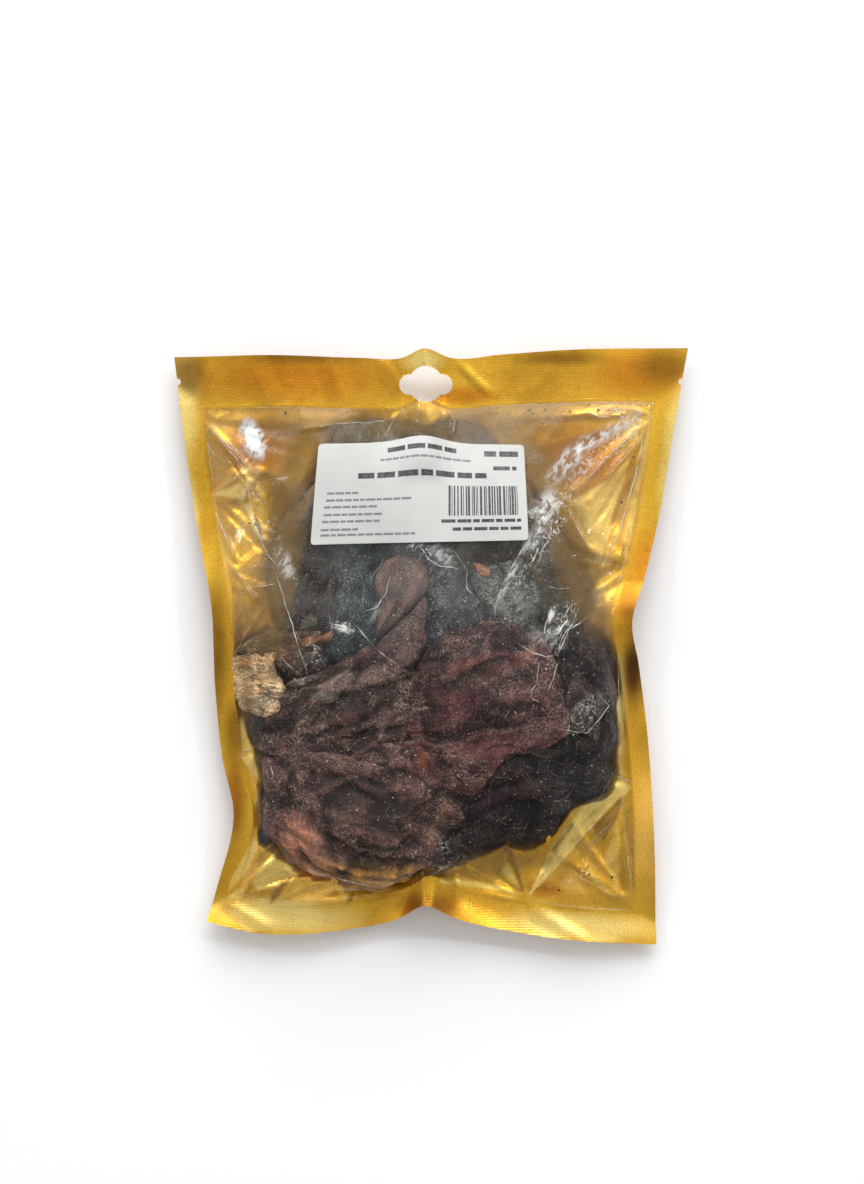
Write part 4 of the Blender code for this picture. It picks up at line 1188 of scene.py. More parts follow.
def gold_material():
    """Satin gold laminate, slightly worn."""
    material, tree, shader = new_material("gold_foil")
    place = millimetres(tree)
    grain = texture(tree, place, 0.9, 3.0)
    uneven_shine = texture(tree, place, 5.0, 6.0)
    fill(tree, shader, {
        "Base Color": scaled(tree, gold_colour(tree, place), ramp(tree, grain, 0.35, 0.65, 0.88, 1.08)),
        "Metallic": 0.85,
        "Roughness": ramp(tree, uneven_shine, 0.3, 0.7, 0.26, 0.36),
        "Normal": bumped(tree, gold_relief(tree, place, grain), 0.09, 0.8),
    })
    return material


def gold_colour(tree, place):
    """Yellow and orange gold, painted reflections and facet highlights and shades, and a mottle of grease in
    the window.
    """
    broad = texture(tree, place, 40.0, 2.0, 0.5, 0.4)
    varied = ramp(tree, broad, 0.35, 0.65, 0.0, 0.4)
    colour = blend(tree, varied, linear(GOLD_YELLOW), linear(GOLD_ORANGE))
    uneven = rim_offset(tree, broad, GOLD_UNEVEN)
    # Fields of painted highlight and shade, mostly standing in for the gold's reflections
    for tone, most, places in GOLD_TONES_AND_REFLECTIONS:
        for where in places:
            colour = blend(tree, field(tree, place, uneven, *where, most), colour, linear(tone))
    # Painted highlight and painted shade on the facets, in streaks
    streaks = texture(tree, millimetres(tree, CRUMPLE_HEADING, (9.0, 1.5, 9.0)), 1.0, 4.0)
    facet = times(tree, attribute(tree, "facet"), ramp(tree, streaks, 0.3, 0.7, 0.8, 1.0))
    colour = blend(tree, ramp(tree, facet, 0.0, FACET_FULL), colour, linear(FACET_PAINTED_HIGHLIGHT))
    colour = blend(tree, ramp(tree, facet, 0.0, -FACET_FULL), colour, linear(FACET_PAINTED_SHADE))
    mottle = ramp(tree, texture(tree, place, 2.6, 5.0, 0.7), 0.46, 0.64, 0.05, 0.4)
    return blend(tree, times(tree, mottle, attribute(tree, "stained")), colour, linear(GOLD_GREASE))


def gold_relief(tree, place, grain):
    """Height of the gold's grain with ribs in the end seals, dots in the side seals, and crumples between."""
    parts = node(tree, "ShaderNodeSeparateXYZ", {0: place})
    ribs = maths(tree, "SINE", times(tree, parts.outputs["Y"], 2 * math.pi / RIB_PITCH))
    columns = maths(tree, "SINE", times(tree, parts.outputs["X"], 2 * math.pi / DOT_PITCH))
    rib_share, dot_share = attribute(tree, "ribs"), attribute(tree, "dots")
    dots = times(tree, ribs, columns)
    emboss = total(tree, times(tree, ribs, rib_share), times(tree, dots, dot_share))
    height = total(tree, times(tree, emboss, EMBOSS_RISE), grain)
    height = maths(tree, "SUBTRACT", height, total(tree, rib_share, dot_share))
    inputs = {"Vector": millimetres(tree, CRUMPLE_HEADING, (16.0, 7.0, 7.0)), "Scale": 1.0}
    crumple = node(tree, "ShaderNodeTexVoronoi", inputs).outputs["Distance"]
    return total(tree, height, times(tree, times(tree, crumple, CRUMPLE_RISE), attribute(tree, "loose")))


def rim_offset(tree, uneven, most):
    """How far noise moves the rims of fields in and out."""
    return times(tree, maths(tree, "SUBTRACT", uneven, 0.5), most)


def field(tree, place, offset, x, y, half_length, half_width, heading, most):
    """A long round field with an uneven rim: the most in its middle, and 0 outside."""
    inputs = {
        "Vector": place, "Location": (x, y, 0.0), "Rotation": (0, 0, math.radians(heading)),
        "Scale": (half_length, half_width, 1e6),
    }
    inner = node(tree, "ShaderNodeMapping", inputs, vector_type="TEXTURE").outputs[0]
    share = node(tree, "ShaderNodeVectorMath", {0: inner}, operation="LENGTH").outputs["Value"]
    return ramp(tree, maths(tree, "ADD", share, offset), 0.2, 1.15, most, 0.0)


def film_material():
    """Clear film: see-through, glossy at a slant and where it catches a light, white in crinkles and painted
    highlights.
    """
    material, tree, shader = new_material("clear_film")
    tree.nodes.remove(shader)
    place = millimetres(tree)
    normal = bumped(tree, texture(tree, place, 7.0, 7.0, 0.62, 0.8), 0.35, 0.5)
    slant = node(tree, "ShaderNodeLayerWeight", {"Blend": 0.5, "Normal": normal}).outputs["Facing"]
    mirrored = total(tree, times(tree, maths(tree, "POWER", slant, 5.0), 0.5), 0.012)
    clear = node(tree, "ShaderNodeBsdfTransparent", {"Color": (0.98, 0.98, 0.97, 1)}).outputs[0]
    gloss = node(tree, "ShaderNodeBsdfGlossy", {"Roughness": 0.05, "Normal": normal}).outputs[0]
    body = layered(tree, mirrored, clear, gloss)
    smudges = texture(tree, place, 8.0, 6.0, 0.65, 0.8)
    cloud = times(tree, attribute(tree, "cloud"), ramp(tree, smudges, 0.3, 0.7, 0.5, 1.0))
    body = layered(tree, cloud, body, matt(tree, FILM_GREASE))
    whole = layered(tree, whiteness(tree, place), body, matt(tree, FILM_SCATTER_AND_HIGHLIGHT))
    tree.links.new(whole, tree.nodes["Material Output"].inputs["Surface"])
    return material


def whiteness(tree, place):
    """How white the film is: crinkle lines and blobs, partly painted highlight, painted reflection smears and
    veil.
    """
    # Crinkles whiten the film, partly by their own scatter and partly as painted highlight
    net = from_middle(tree, texture(tree, place, 5.0, 2.0, 0.5, 1.0))
    blobs = ramp(tree, texture(tree, place, 2.6, 3.0, 0.6, 0.5), 0.6, 0.64)
    lines = larger(tree, ramp(tree, net, 0.003, 0.014, 0.9, 0.0), blobs)
    crinkle_white_and_glints = times(tree, attribute(tree, "crinkle_and_glint"), lines)
    # Painted reflections: milky smears where the film mirrors a light, solid where strongest
    sheen = attribute(tree, "sheen")
    smears = texture(tree, millimetres(tree, 56.0, (5.0, 2.6, 5.0)), 1.0, 5.0, 0.6, 0.5)
    veins = from_middle(tree, texture(tree, place, 3.0, 2.0, 0.5, 0.8))
    milk = times(tree, ramp(tree, smears, 0.42, 0.58, 0.08, 1.0), ramp(tree, veins, 0.0, 0.03, 0.6, 1.0))
    milk = larger(tree, milk, ramp(tree, sheen, 0.7, 1.15))
    share = larger(tree, crinkle_white_and_glints, times(tree, sheen, milk))
    # Creases whiten a little, partly their own scatter and partly painted highlight
    share = total(tree, share, times(tree, attribute(tree, "crease"), 0.05))
    # Painted sheen: a thin white veil that grows towards the top of the window
    upper = node(tree, "ShaderNodeSeparateXYZ", {0: place}).outputs["Y"]
    patchy = ramp(tree, texture(tree, place, 24.0, 4.0, 0.6, 0.6), 0.35, 0.65, 0.3, 1.5)
    painted_veil = times(tree, patchy, ramp(tree, upper, *SHEEN_VEIL_RANGE, 0.0, SHEEN_VEIL_SHARE))
    return maths(tree, "ADD", share, painted_veil, clamp=True)


def crest_material():
    """The sharp crests of the film's creases, painted bright white as glints."""
    material, tree, shader = new_material("film_crest_glint")
    uneven_shine = ramp(tree, texture(tree, millimetres(tree), 3.0, 4.0), 0.4, 0.6)
    colour = blend(tree, uneven_shine, (0.92, 0.92, 0.9, 1), (0.6, 0.6, 0.56, 1))
    fill(tree, shader, {"Base Color": colour, "Roughness": 0.15, "Alpha": 0.8})
    return material


def specks(tree, place, apart, size, present):
    """Scattered round specks: how far apart, their share of that, and the share of places that have one."""
    cells = node(tree, "ShaderNodeTexVoronoi", {"Vector": place, "Scale": 1 / apart})
    chance = node(tree, "ShaderNodeSeparateXYZ", {0: cells.outputs["Color"]}).outputs["X"]
    there = maths(tree, "LESS_THAN", chance, present)
    return times(tree, ramp(tree, cells.outputs["Distance"], 0.5 * size, size, 1.0, 0.0), there)


def hair_lines(tree, place, size):
    """Fine curling lines in places, with loops about as large as size."""
    loops = texture(tree, place, size, 1.0, 0.5, 1.6)
    there = ramp(tree, texture(tree, place, 0.6 * size, 2.0), 0.52, 0.6)
    line = ramp(tree, from_middle(tree, loops), HAIR_CORE / size, HAIR_RIM / size, 0.6, 0.0)
    return times(tree, line, there)


def flesh_material(name, flesh, heading):
    """Smoked and dried flesh: blushes and streaks, painted shade in its hollows and folds, with dust over it.
    """
    material, tree, shader = new_material(name)
    place = millimetres(tree, heading)
    deep = attribute(tree, "deep")
    fine = texture(tree, place, 6.0, 3.0, 0.5)
    mottle = texture(tree, place, 1.0, 4.0, 0.65)
    folds = texture(tree, millimetres(tree, heading, (34.0, 9.0, 12.0)), 1.0, 3.0, 0.5, 0.8)
    fibre = texture(tree, millimetres(tree, heading, (16.0, 1.4, 5.0)), 1.0, 4.0, 0.6, 0.8)
    colour = blushed(tree, place, flesh, fine)
    colour = blend(tree, ramp(tree, fibre, 0.54, 0.4, 0.0, flesh.streaks), colour, linear(flesh.dark))
    colour = blend(tree, ramp(tree, fibre, 0.52, 0.64, 0.0, flesh.streaks), colour, linear(flesh.light))
    # Painted shade: darker in the deep hollows and along the furrows of the folds' noise
    hollow = times(tree, ramp(tree, deep, 0.0, 1.0, 1.15, 0.22), ramp(tree, folds, 0.36, 0.62, 0.6, 1.2))
    colour = scaled(tree, colour, times(tree, hollow, ramp(tree, mottle, 0.34, 0.66, 0.8, 1.22)))
    relief = total(
        tree, fine, times(tree, mottle, 0.12), times(tree, fibre, 2 * flesh.streaks), times(tree, folds, 3.0)
    )
    fill(tree, shader, {
        "Base Color": dusted(tree, place, flesh, deep, mottle, colour),
        "Roughness": ramp(tree, fine, 0.3, 0.7, 0.42, 0.7),
        "Specular IOR Level": 0.18,
        "Normal": bumped(tree, relief, 0.8, 0.7),
    })
    return material


def blushed(tree, place, flesh, fine):
    """The flesh's dark, middle and light colours, with its blushes over them."""
    broad = texture(tree, place, 26.0, 4.0, 0.55, 1.0)
    colour = blend(tree, ramp(tree, broad, 0.38, 0.6), linear(flesh.dark), linear(flesh.mid))
    colour = blend(tree, ramp(tree, fine, 0.46, 0.7, 0.0, 0.6), colour, linear(flesh.light))
    plain_place = millimetres(tree)
    broken = ramp(tree, texture(tree, place, 2.4, 5.0, 0.7), 0.36, 0.6, 0.5, 1.0)
    offset = rim_offset(tree, texture(tree, place, 5.0, 5.0, 0.6), BLUSH_UNEVEN)
    for *where, blush in flesh.blushes:
        share = times(tree, field(tree, plain_place, offset, *where), broken)
        colour = blend(tree, share, colour, linear(blush))
    return colour


def dusted(tree, place, flesh, deep, mottle, colour):
    """The colour under pale dust in patches, thinner in hollows, on ridges also as painted highlight; fine
    hairs, grit, crumbs.
    """
    patches = ramp(tree, texture(tree, place, 14.0, 5.0, 0.65, 1.0), 0.42, 0.6, 0.1, 0.9)
    dusty = times(tree, patches, ramp(tree, deep, 0.2, 0.8, 1.0, 0.25))
    dusty = larger(tree, dusty, attribute(tree, "ridge"))
    dust = times(tree, ramp(tree, mottle, 0.45, 0.6, 0.05, 1.0), dusty)
    hairs = larger(tree, hair_lines(tree, place, 13.0), hair_lines(tree, place, 7.0))
    pale = times(tree, larger(tree, dust, times(tree, hairs, patches)), flesh.dust_share)
    colour = blend(tree, pale, colour, linear(flesh.dust))
    grit = specks(tree, place, 1.3, 0.3, times(tree, dusty, 0.8))
    colour = blend(tree, times(tree, grit, 0.5 * flesh.dust_share), colour, linear(GRIT))
    crumbs = specks(tree, place, 3.6, 0.13, times(tree, dusty, 0.6))
    return blend(tree, times(tree, crumbs, flesh.dust_share), colour, linear(PALE_CRUMBS))


def scrap_material(name, first, second):
    """Loose bits in two shades."""
    material, tree, shader = new_material(name)
    share = ramp(tree, texture(tree, millimetres(tree), 2.2, 4.0), 0.4, 0.6)
    fill(tree, shader, {"Base Color": blend(tree, share, linear(first), linear(second)), "Roughness": 0.75})
    return material


def paper_material():
    """Label paper: a faint grey cast that varies, with fine fibre."""
    material, tree, shader = new_material("label_paper")
    place = millimetres(tree)
    grey = ramp(tree, texture(tree, place, 30.0, 3.0), 0.3, 0.7)
    fill(tree, shader, {
        "Base Color": blend(tree, grey, linear(PAPER_LIGHT), linear(PAPER_GREY)),
        "Roughness": ramp(tree, texture(tree, place, 2.0, 4.0), 0.3, 0.7, 0.5, 0.62),
        "Normal": bumped(tree, texture(tree, place, 0.6, 4.0), 0.02, 0.4),
    })
    return material


def ink_material(name, colour):
    """Thermal print, a little uneven."""
    material, tree, shader = new_material(name)
    uneven = ramp(tree, texture(tree, millimetres(tree), 1.5, 4.0), 0.35, 0.75, 0.0, 0.35)
    shade = blend(tree, uneven, linear(colour), linear(FADED_INK))
    fill(tree, shader, {"Base Color": shade, "Roughness": 0.5})
    return material


def floor_material():
    """Pale matt studio floor."""
    material, tree, shader = new_material("studio_floor")
    shade = ramp(tree, texture(tree, millimetres(tree), 900.0, 2.0), 0.3, 0.7)
    colour = blend(tree, shade, (0.91, 0.91, 0.91, 1), (0.94, 0.94, 0.94, 1))
    fill(tree, shader, {"Base Color": colour, "Roughness": 0.8, "Specular IOR Level": 0.1})
    return material


def from_seals(across, along):
    """Distance in millimetres from the nearest seal's inner edge, below zero inside the seals."""
    x, y = across * POUCH_WIDTH, along * POUCH_HEIGHT
    side = np.minimum(x - SIDE_SEAL, POUCH_WIDTH - SIDE_SEAL - x)
    end = np.minimum(y - BOTTOM_SEAL, POUCH_HEIGHT - TOP_SEAL - y)
    return np.minimum(side[:, None], end[None, :])


def label_plan(across, along):
    """Plan positions on the label from shares of its width and height, with round corners."""
    lower_left, lower_right, upper_right, upper_left = (np.array(c) for c in LABEL_CORNERS)
    from_end = np.minimum(along, 1 - along) * LABEL_HEIGHT
    inset = LABEL_CORNER - np.sqrt(LABEL_CORNER**2 - np.clip(LABEL_CORNER - from_end, 0, None) ** 2)
    u = (inset[None, :] + across[:, None] * (LABEL_WIDTH - 2 * inset[None, :])) / LABEL_WIDTH
    u, v = u[..., None], np.broadcast_to(along[None, :, None], (*u.shape, 1))
    plan = (1 - v) * ((1 - u) * lower_left + u * lower_right) + v * ((1 - u) * upper_left + u * upper_right)
    rise = np.exp(-(((plan[..., 0] - LABEL_RISE_X) / LABEL_RISE_HALF) ** 2))
    plan[..., 1] += LABEL_RISE * rise * v[..., 0] ** 2
    return plan


def fish_cover(plan):
    """1 over the fish pieces and 0 beside them."""
    cover = np.zeros(plan.shape[:-1])
    for fish in FISH.values():
        cover = np.maximum(cover, 1 - smoothstep(0.85, 1.15, Outline(fish.outline).share(plan)))
    return cover


class Pouch:
    """The grids of the film and the foil."""

    def __init__(self):
        across = grid_shares(SIDE_SEAL, SIDE_SEAL, POUCH_WIDTH, SIDE_CELLS, WINDOW_COLUMNS, SIDE_CELLS)
        along = grid_shares(BOTTOM_SEAL, TOP_SEAL, POUCH_HEIGHT, BOTTOM_CELLS, WINDOW_ROWS, TOP_CELLS)
        middle = seal_surface(across, along)
        self.plan, self.seal = middle[..., :2], middle[..., 2]
        self.inside = from_seals(across, along)
        self.window = self.inside > 1e-6
        self.seal_ripples(across, along)
        self.cover = fish_cover(self.plan)
        self.read_heights()
        self.crease()
        self.press_patch()
        self.press_label()
        self.foil = np.maximum(self.foil, 0.0)
        self.film = np.maximum(self.film, self.foil + FILM_GAP)

    def seal_ripples(self, across, along):
        """The heat seals curl up towards their outer edges, with soft waves and straight folds."""
        self.seal = self.seal + WAVE_RISE * noise_field(self.plan, WAVE_LENGTH, 1)
        uneven = 1 + CURL_UNEVEN * noise_field(self.plan, CURL_LENGTH, 2)
        low = np.clip(1 - along * POUCH_HEIGHT / BOTTOM_SEAL, 0, 1)[None, :]
        high = np.clip(1 - (1 - along) * POUCH_HEIGHT / TOP_SEAL, 0, 1)[None, :]
        side = np.clip(1 - np.minimum(across, 1 - across) * POUCH_WIDTH / SIDE_SEAL, 0, 1)[:, None]
        curl = np.maximum(BOTTOM_CURL * low**1.5, TOP_CURL * high**1.5)
        self.seal = self.seal + np.maximum(curl, SIDE_CURL * side**1.5) * uneven
        for row in SEAL_FOLDS:
            self.seal = self.seal + fold(self.plan, row)

    def read_heights(self):
        """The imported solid's film and foil, with its facets smoothed away."""
        solid = mesh_tree(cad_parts["pouch"].data)
        film, foil = cast(solid, self.plan), cast(solid, self.plan, from_above=False)
        film = np.where(self.window & ~np.isnan(film), film, self.seal + SEAL_THICK / 2)
        foil = np.where(self.window & ~np.isnan(foil), foil, self.seal - SEAL_THICK / 2)
        self.film = blurred(film, SMOOTH_PASSES, self.window)
        self.foil = blurred(foil, SMOOTH_PASSES, self.window)

    def crease(self):
        """Creases in the film and, differently, in the foil."""
        near = smoothstep(0.0, CREASE_MARGIN, self.inside)
        loose, taut = near * (1 - 0.8 * self.cover), near * self.cover
        film = sum(facets(self.plan, *row) for row in FILM_FACETS)
        foil = sum(facets(self.plan, *row) for row in FOIL_FACETS)
        for n, row in enumerate(FANS):
            film += fan(self.plan, row, 40 + n)
            foil += fan(self.plan, row, 80 + n)
        film = blurred(film * loose + facets(self.plan, *TAUT_FACETS) * taut, 1)
        for points, height, half, _ in CREASES:
            side = np.clip(1 - line_distance(self.plan, points) / half, 0, 1)
            film += height * side * (0.35 + 0.65 * (1 - self.cover)) * near
            foil += FOIL_CREASE_SHARE * height * side
        foil = foil * near
        self.creased = smoothstep(*CREASE_BEND, np.abs(blurred(film, 1) - film)) * near
        # Each facet's painted highlight or shade, and the rise of the foil that follows its sign
        self.facet = np.zeros(self.inside.shape)
        for shade, corners in FACETS:
            depth = facet_depth(self.plan, corners)
            self.facet += smoothstep(-FACET_RIM, FACET_RIM, depth) * (shade - self.facet)
            foil = foil + math.copysign(FACET_RISE, shade) * np.clip(depth, 0, FACET_REACH) * near
        self.film = self.film + film
        lift = FOIL_LIFT * (1 - self.cover) * np.clip(self.seal - self.foil, 0, None)
        self.foil = self.foil + foil + lift

    def patches(self, rows):
        """The sum of a table of patches."""
        return sum(strength * patch(self.plan, *place) for *place, strength in rows)

    def press_patch(self):
        """The two layers are also sealed together under the hang hole."""
        run = (self.plan - (HOLE_X, PATCH_Y)) / (PATCH_HALF_WIDTH, PATCH_REACH)
        share = 1 - smoothstep(0.8, 1.1, np.linalg.norm(run, axis=-1))
        self.film = self.film + share * (self.seal + SEAL_THICK / 2 - self.film)
        self.foil = self.foil + share * (self.seal - SEAL_THICK / 2 - self.foil)

    def press_label(self):
        """The film stays below the label."""
        label = cast(mesh_tree(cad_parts["label"].data), self.plan, from_above=False)
        under = np.where(np.isnan(label), np.inf, label - FILM_THICK)
        self.film = np.minimum(self.film, under)

    def foil_mesh(self):
        over = np.where(self.window, self.foil + FOIL_THICK, self.seal + SEAL_THICK / 2)
        under = np.where(self.window, self.foil, self.seal - SEAL_THICK / 2)
        mesh = sheet_mesh("foil_back", self.plan, over, under)
        ends = np.zeros(self.inside.shape)
        ends[:, :BOTTOM_CELLS] = 1
        ends[:, -TOP_CELLS:] = 1
        sides = np.zeros(self.inside.shape)
        sides[:SIDE_CELLS] = 1
        sides[-SIDE_CELLS:] = 1
        below_top = (self.plan[..., 1].max(1, keepdims=True) - self.plan[..., 1]) - TOP_SEAL
        stained = self.window * (1 - smoothstep(*GREASE_FADE, below_top))
        loose = smoothstep(0.0, CRUMPLE_MARGIN, self.inside)
        store_grids(mesh, ribs=ends * (1 - sides), dots=sides, stained=stained, loose=loose, facet=self.facet)
        return mesh

    def film_grid(self):
        """The part of the grid that the film covers: the window and a strip tucked into the seals."""
        columns = slice(SIDE_CELLS - TUCK_CELLS, -SIDE_CELLS + TUCK_CELLS)
        rows = slice(BOTTOM_CELLS - TUCK_CELLS, -TOP_CELLS + TUCK_CELLS)
        return columns, rows

    def film_mesh(self):
        part = self.film_grid()
        over = np.where(self.window, self.film, self.seal)[part]
        mesh = sheet_mesh("film_front", self.plan[part], over, over - FILM_THICK)
        tables = {"crinkle_and_glint": CRINKLES, "sheen": SHEENS, "cloud": CLOUDS}
        patches = {name: self.patches(rows)[part] for name, rows in tables.items()}
        store_grids(mesh, crease=self.creased[part], **patches)
        return mesh


def cutter(name, outline):
    """An upright prism on the outline, tall enough to pass through the seals."""
    shape = bmesh.new()
    ring = [shape.verts.new((x * MM, y * MM, -CUTTER_REACH * MM)) for x, y in outline]
    grown = bmesh.ops.extrude_face_region(shape, geom=[shape.faces.new(ring)])
    lifted = [v for v in grown["geom"] if isinstance(v, bmesh.types.BMVert)]
    bmesh.ops.translate(shape, verts=lifted, vec=(0, 0, 2 * CUTTER_REACH * MM))
    bmesh.ops.recalc_face_normals(shape, faces=shape.faces)
    mesh = bpy.data.meshes.new(name)
    shape.to_mesh(mesh)
    shape.free()
    made = bpy.data.objects.new(name, mesh)
    bpy.context.scene.collection.objects.link(made)
    return made


def hole_outline(points=72):
    """The hang hole's outline: from its centre, each ray ends on the slot or on the round middle."""
    half_straight = (SLOT_LENGTH - SLOT_WIDTH) / 2
    outline = []
    for n in range(points):
        angle = 2 * math.pi * n / points
        run_x, run_y = abs(math.cos(angle)), abs(math.sin(angle))
        reach = SLOT_WIDTH / 2 / max(run_y, 1e-9)
        if reach * run_x > half_straight:
            reach = half_straight * run_x + math.sqrt((SLOT_WIDTH / 2) ** 2 - (half_straight * run_y) ** 2)
        reach = max(reach, HOLE_RADIUS)
        outline.append((HOLE_X + reach * math.cos(angle), HOLE_Y + reach * math.sin(angle)))
    return outline


def notch_outline(edge, points=20):
    line = smooth_curve(edge, np.linspace(0, 1, 400))
    x = float(np.interp(NOTCH_Y, line[:, 1], line[:, 0]))
    angles = [2 * math.pi * n / points for n in range(points)]
    return [(x + NOTCH_RADIUS * math.cos(a), NOTCH_Y + NOTCH_RADIUS * math.sin(a)) for a in angles]


def cut_openings(piece):
    """Cuts the hang hole and the notches, and keeps the result as the piece's own mesh."""
    outlines = [hole_outline(), notch_outline(LEFT_EDGE), notch_outline(RIGHT_EDGE)]
    tools = [cutter(f"cutter_{n}", outline) for n, outline in enumerate(outlines)]
    for tool in tools:
        modifier = piece.modifiers.new(tool.name, "BOOLEAN")
        modifier.operation = "DIFFERENCE"
        modifier.solver = "EXACT"
        modifier.object = tool
    bpy.context.view_layer.update()
    evaluated = piece.evaluated_get(bpy.context.evaluated_depsgraph_get())
    piece.data = bpy.data.meshes.new_from_object(evaluated)
    piece.modifiers.clear()
    piece.data.set_sharp_from_angle(angle=SHARP_ANGLE)
    for tool in tools:
        bpy.data.objects.remove(tool)


def grain_noise(u, v, z, seed, form):
    """Noise of one of the forms of the relief, at a place turned along the fibres."""
    along, across, up, step = form
    return noise.noise(Vector((u / along, v / across, z / up + step * seed)))


def dried_relief(points, heading, seed):
    """How deep each point of a piece lies below its full form: crevices, flaps, wrinkles, dents and pits."""
    turn = math.radians(heading)
    depths = []
    for x, y, z in points.tolist():
        u = x * math.cos(turn) + y * math.sin(turn)
        v = y * math.cos(turn) - x * math.sin(turn)
        warped = v + WARP_DEPTH * grain_noise(u, v, z, seed, WARP)
        crevice = max(0.0, 1 - CREVICE_SHARPNESS * abs(grain_noise(u, warped, z, seed, CREVICE)))
        flap = LEDGE_COUNT * grain_noise(u, warped, z, seed, LEDGE) % 1.0
        ledge = min(flap, LEDGE_DROP * (1 - flap))
        wrinkle = max(0.0, 1 - WRINKLE_SHARPNESS * abs(grain_noise(u, warped, z, seed, WRINKLE)))
        dent = max(0.0, grain_noise(u, v, z, seed, DENT))
        pit = grain_noise(u, v, z, seed, PIT) + 1
        depths.append(
            CREVICE_DEPTH * crevice**2 + LEDGE_DEPTH * ledge + WRINKLE_DEPTH * wrinkle**2
            + DENT_DEPTH * dent + PIT_DEPTH * pit
        )
    return np.array(depths)


def flap_depth(plan, points, drop, reach):
    """The hollow beside the edge of a flap, deepest just right of it, and the ridge along its left."""
    line = smooth_curve(points, np.linspace(0, 1, FLAP_STEPS))
    run = np.gradient(line, axis=0)
    apart = plan[:, None] - line[None]
    distance = np.linalg.norm(apart, axis=2)
    at = distance.argmin(1)
    nearest, way = apart[np.arange(len(plan)), at], run[at]
    right = np.sign(nearest[:, 0] * way[:, 1] - nearest[:, 1] * way[:, 0])
    away = right * distance.min(1)
    ends = np.sqrt(np.sin(math.pi * at / (FLAP_STEPS - 1)))
    hollow = drop * ends * smoothstep(-0.6, 1.0, away) * np.exp(-np.clip(away, 0, None) / reach)
    return hollow, ends * np.exp(-((away / RIDGE_WIDTH + 1) ** 2))


def fish_mesh(name, fish, film, foil, seed):
    """A closed piece of fish: a rounded slab on its outline, held between film and foil, with its relief."""
    outline = Outline(fish.outline)
    small = outline.radii.mean() < SMALL_PIECE
    shape = bmesh.new()
    bmesh.ops.create_icosphere(shape, subdivisions=PIECE_FINENESS - int(small), radius=1)
    ball = np.array([v.co for v in shape.verts])
    flat = np.linalg.norm(ball[:, :2], axis=1)
    angle = np.arctan2(ball[:, 1], ball[:, 0])
    wobble = np.array([noise.noise(Vector((3 * x, 3 * y, 3 * z + seed))) for x, y, z in ball.tolist()])
    ragged = np.array([noise.noise(Vector((11 * x, 11 * y, 7 * z - seed))) for x, y, z in ball.tolist()])
    edge = (RIM_WOBBLE * wobble + RIM_RAGGED * ragged) * (SMALL_RIM if small else 1.0)
    reach = (GROWTH * outline.radius(angle) + edge) * flat**ROUNDNESS
    plan = outline.middle + np.stack([np.cos(angle), np.sin(angle)], 1) * reach[:, None]
    middle, half = (fish.base + fish.top) / 2, (fish.top - fish.base) / 2
    height = middle + half * np.sign(ball[:, 2]) * np.abs(ball[:, 2]) ** ROUNDNESS
    ceiling, ground = cast(film, plan) - FISH_GAP, cast(foil, plan) + FISH_GAP
    height = np.maximum(np.fmin(height, ceiling), ground)
    points = np.column_stack([plan, height])
    core = np.array([*outline.middle, float(np.median(height))])
    inward = core - points
    inward[:, :2] *= RELIEF_TILT
    inward /= np.linalg.norm(inward, axis=1)[:, None] + 1e-6
    depth = FLESH[fish.flesh].relief * dried_relief(points, fish.heading, seed)
    uneven = plan + FLAP_WANDER * np.stack([noise_field(plan, 6.0, seed + n) for n in (0.3, 0.6)], 1)
    hollows, ridges = np.zeros(len(plan)), np.zeros(len(plan))
    for flap in FLAPS.get(name.removeprefix("fish_"), []):
        hollow, ridge = flap_depth(uneven, *flap)
        hollows, ridges = hollows + hollow * (ball[:, 2] > 0), np.maximum(ridges, ridge)
    depth += hollows
    points = points + inward * depth[:, None]
    points[:, 2] = np.maximum(points[:, 2], ground)
    for vertex, point in zip(shape.verts, points * MM):
        vertex.co = point
    mesh = bpy.data.meshes.new(name)
    shape.to_mesh(mesh)
    shape.free()
    mesh.shade_smooth()
    # The depth that the painted shade and the dust follow, and the ridges that get dust and painted highlight
    store(mesh, "deep", smoothstep(DEEP_FROM, DEEP_TO, depth + hollows))
    store(mesh, "ridge", RIDGE_SHARE * ridges)
    return mesh


def add_fish():
    """All pieces of fish, each in its own flesh."""
    film = mesh_tree(bpy.data.meshes["film_front"])
    foil = mesh_tree(bpy.data.meshes["foil_back"])
    for seed, (name, fish) in enumerate(FISH.items(), 1):
        mesh = fish_mesh(f"fish_{name}", fish, film, foil, seed)
        material = flesh_material(f"flesh_{name}", FLESH[fish.flesh], fish.heading)
        show(f"fish_{name}", mesh, material)


def pile_spots(count, seed):
    """Random plan places over the pieces of fish, each with its piece's heading, and the random draw."""
    draw = np.random.default_rng(seed)
    outlines = [Outline(fish.outline) for fish in FISH.values()]
    headings = [fish.heading for fish in FISH.values()]
    areas = np.array([float((outline.radii**2).mean()) for outline in outlines])
    for n in draw.choice(len(outlines), count, p=areas / areas.sum()):
        angle = draw.uniform(-math.pi, math.pi)
        reach = outlines[n].radius(angle) * math.sqrt(draw.uniform(0, 0.96))
        place = outlines[n].middle + reach * np.array([math.cos(angle), math.sin(angle)])
        yield place, headings[n], draw


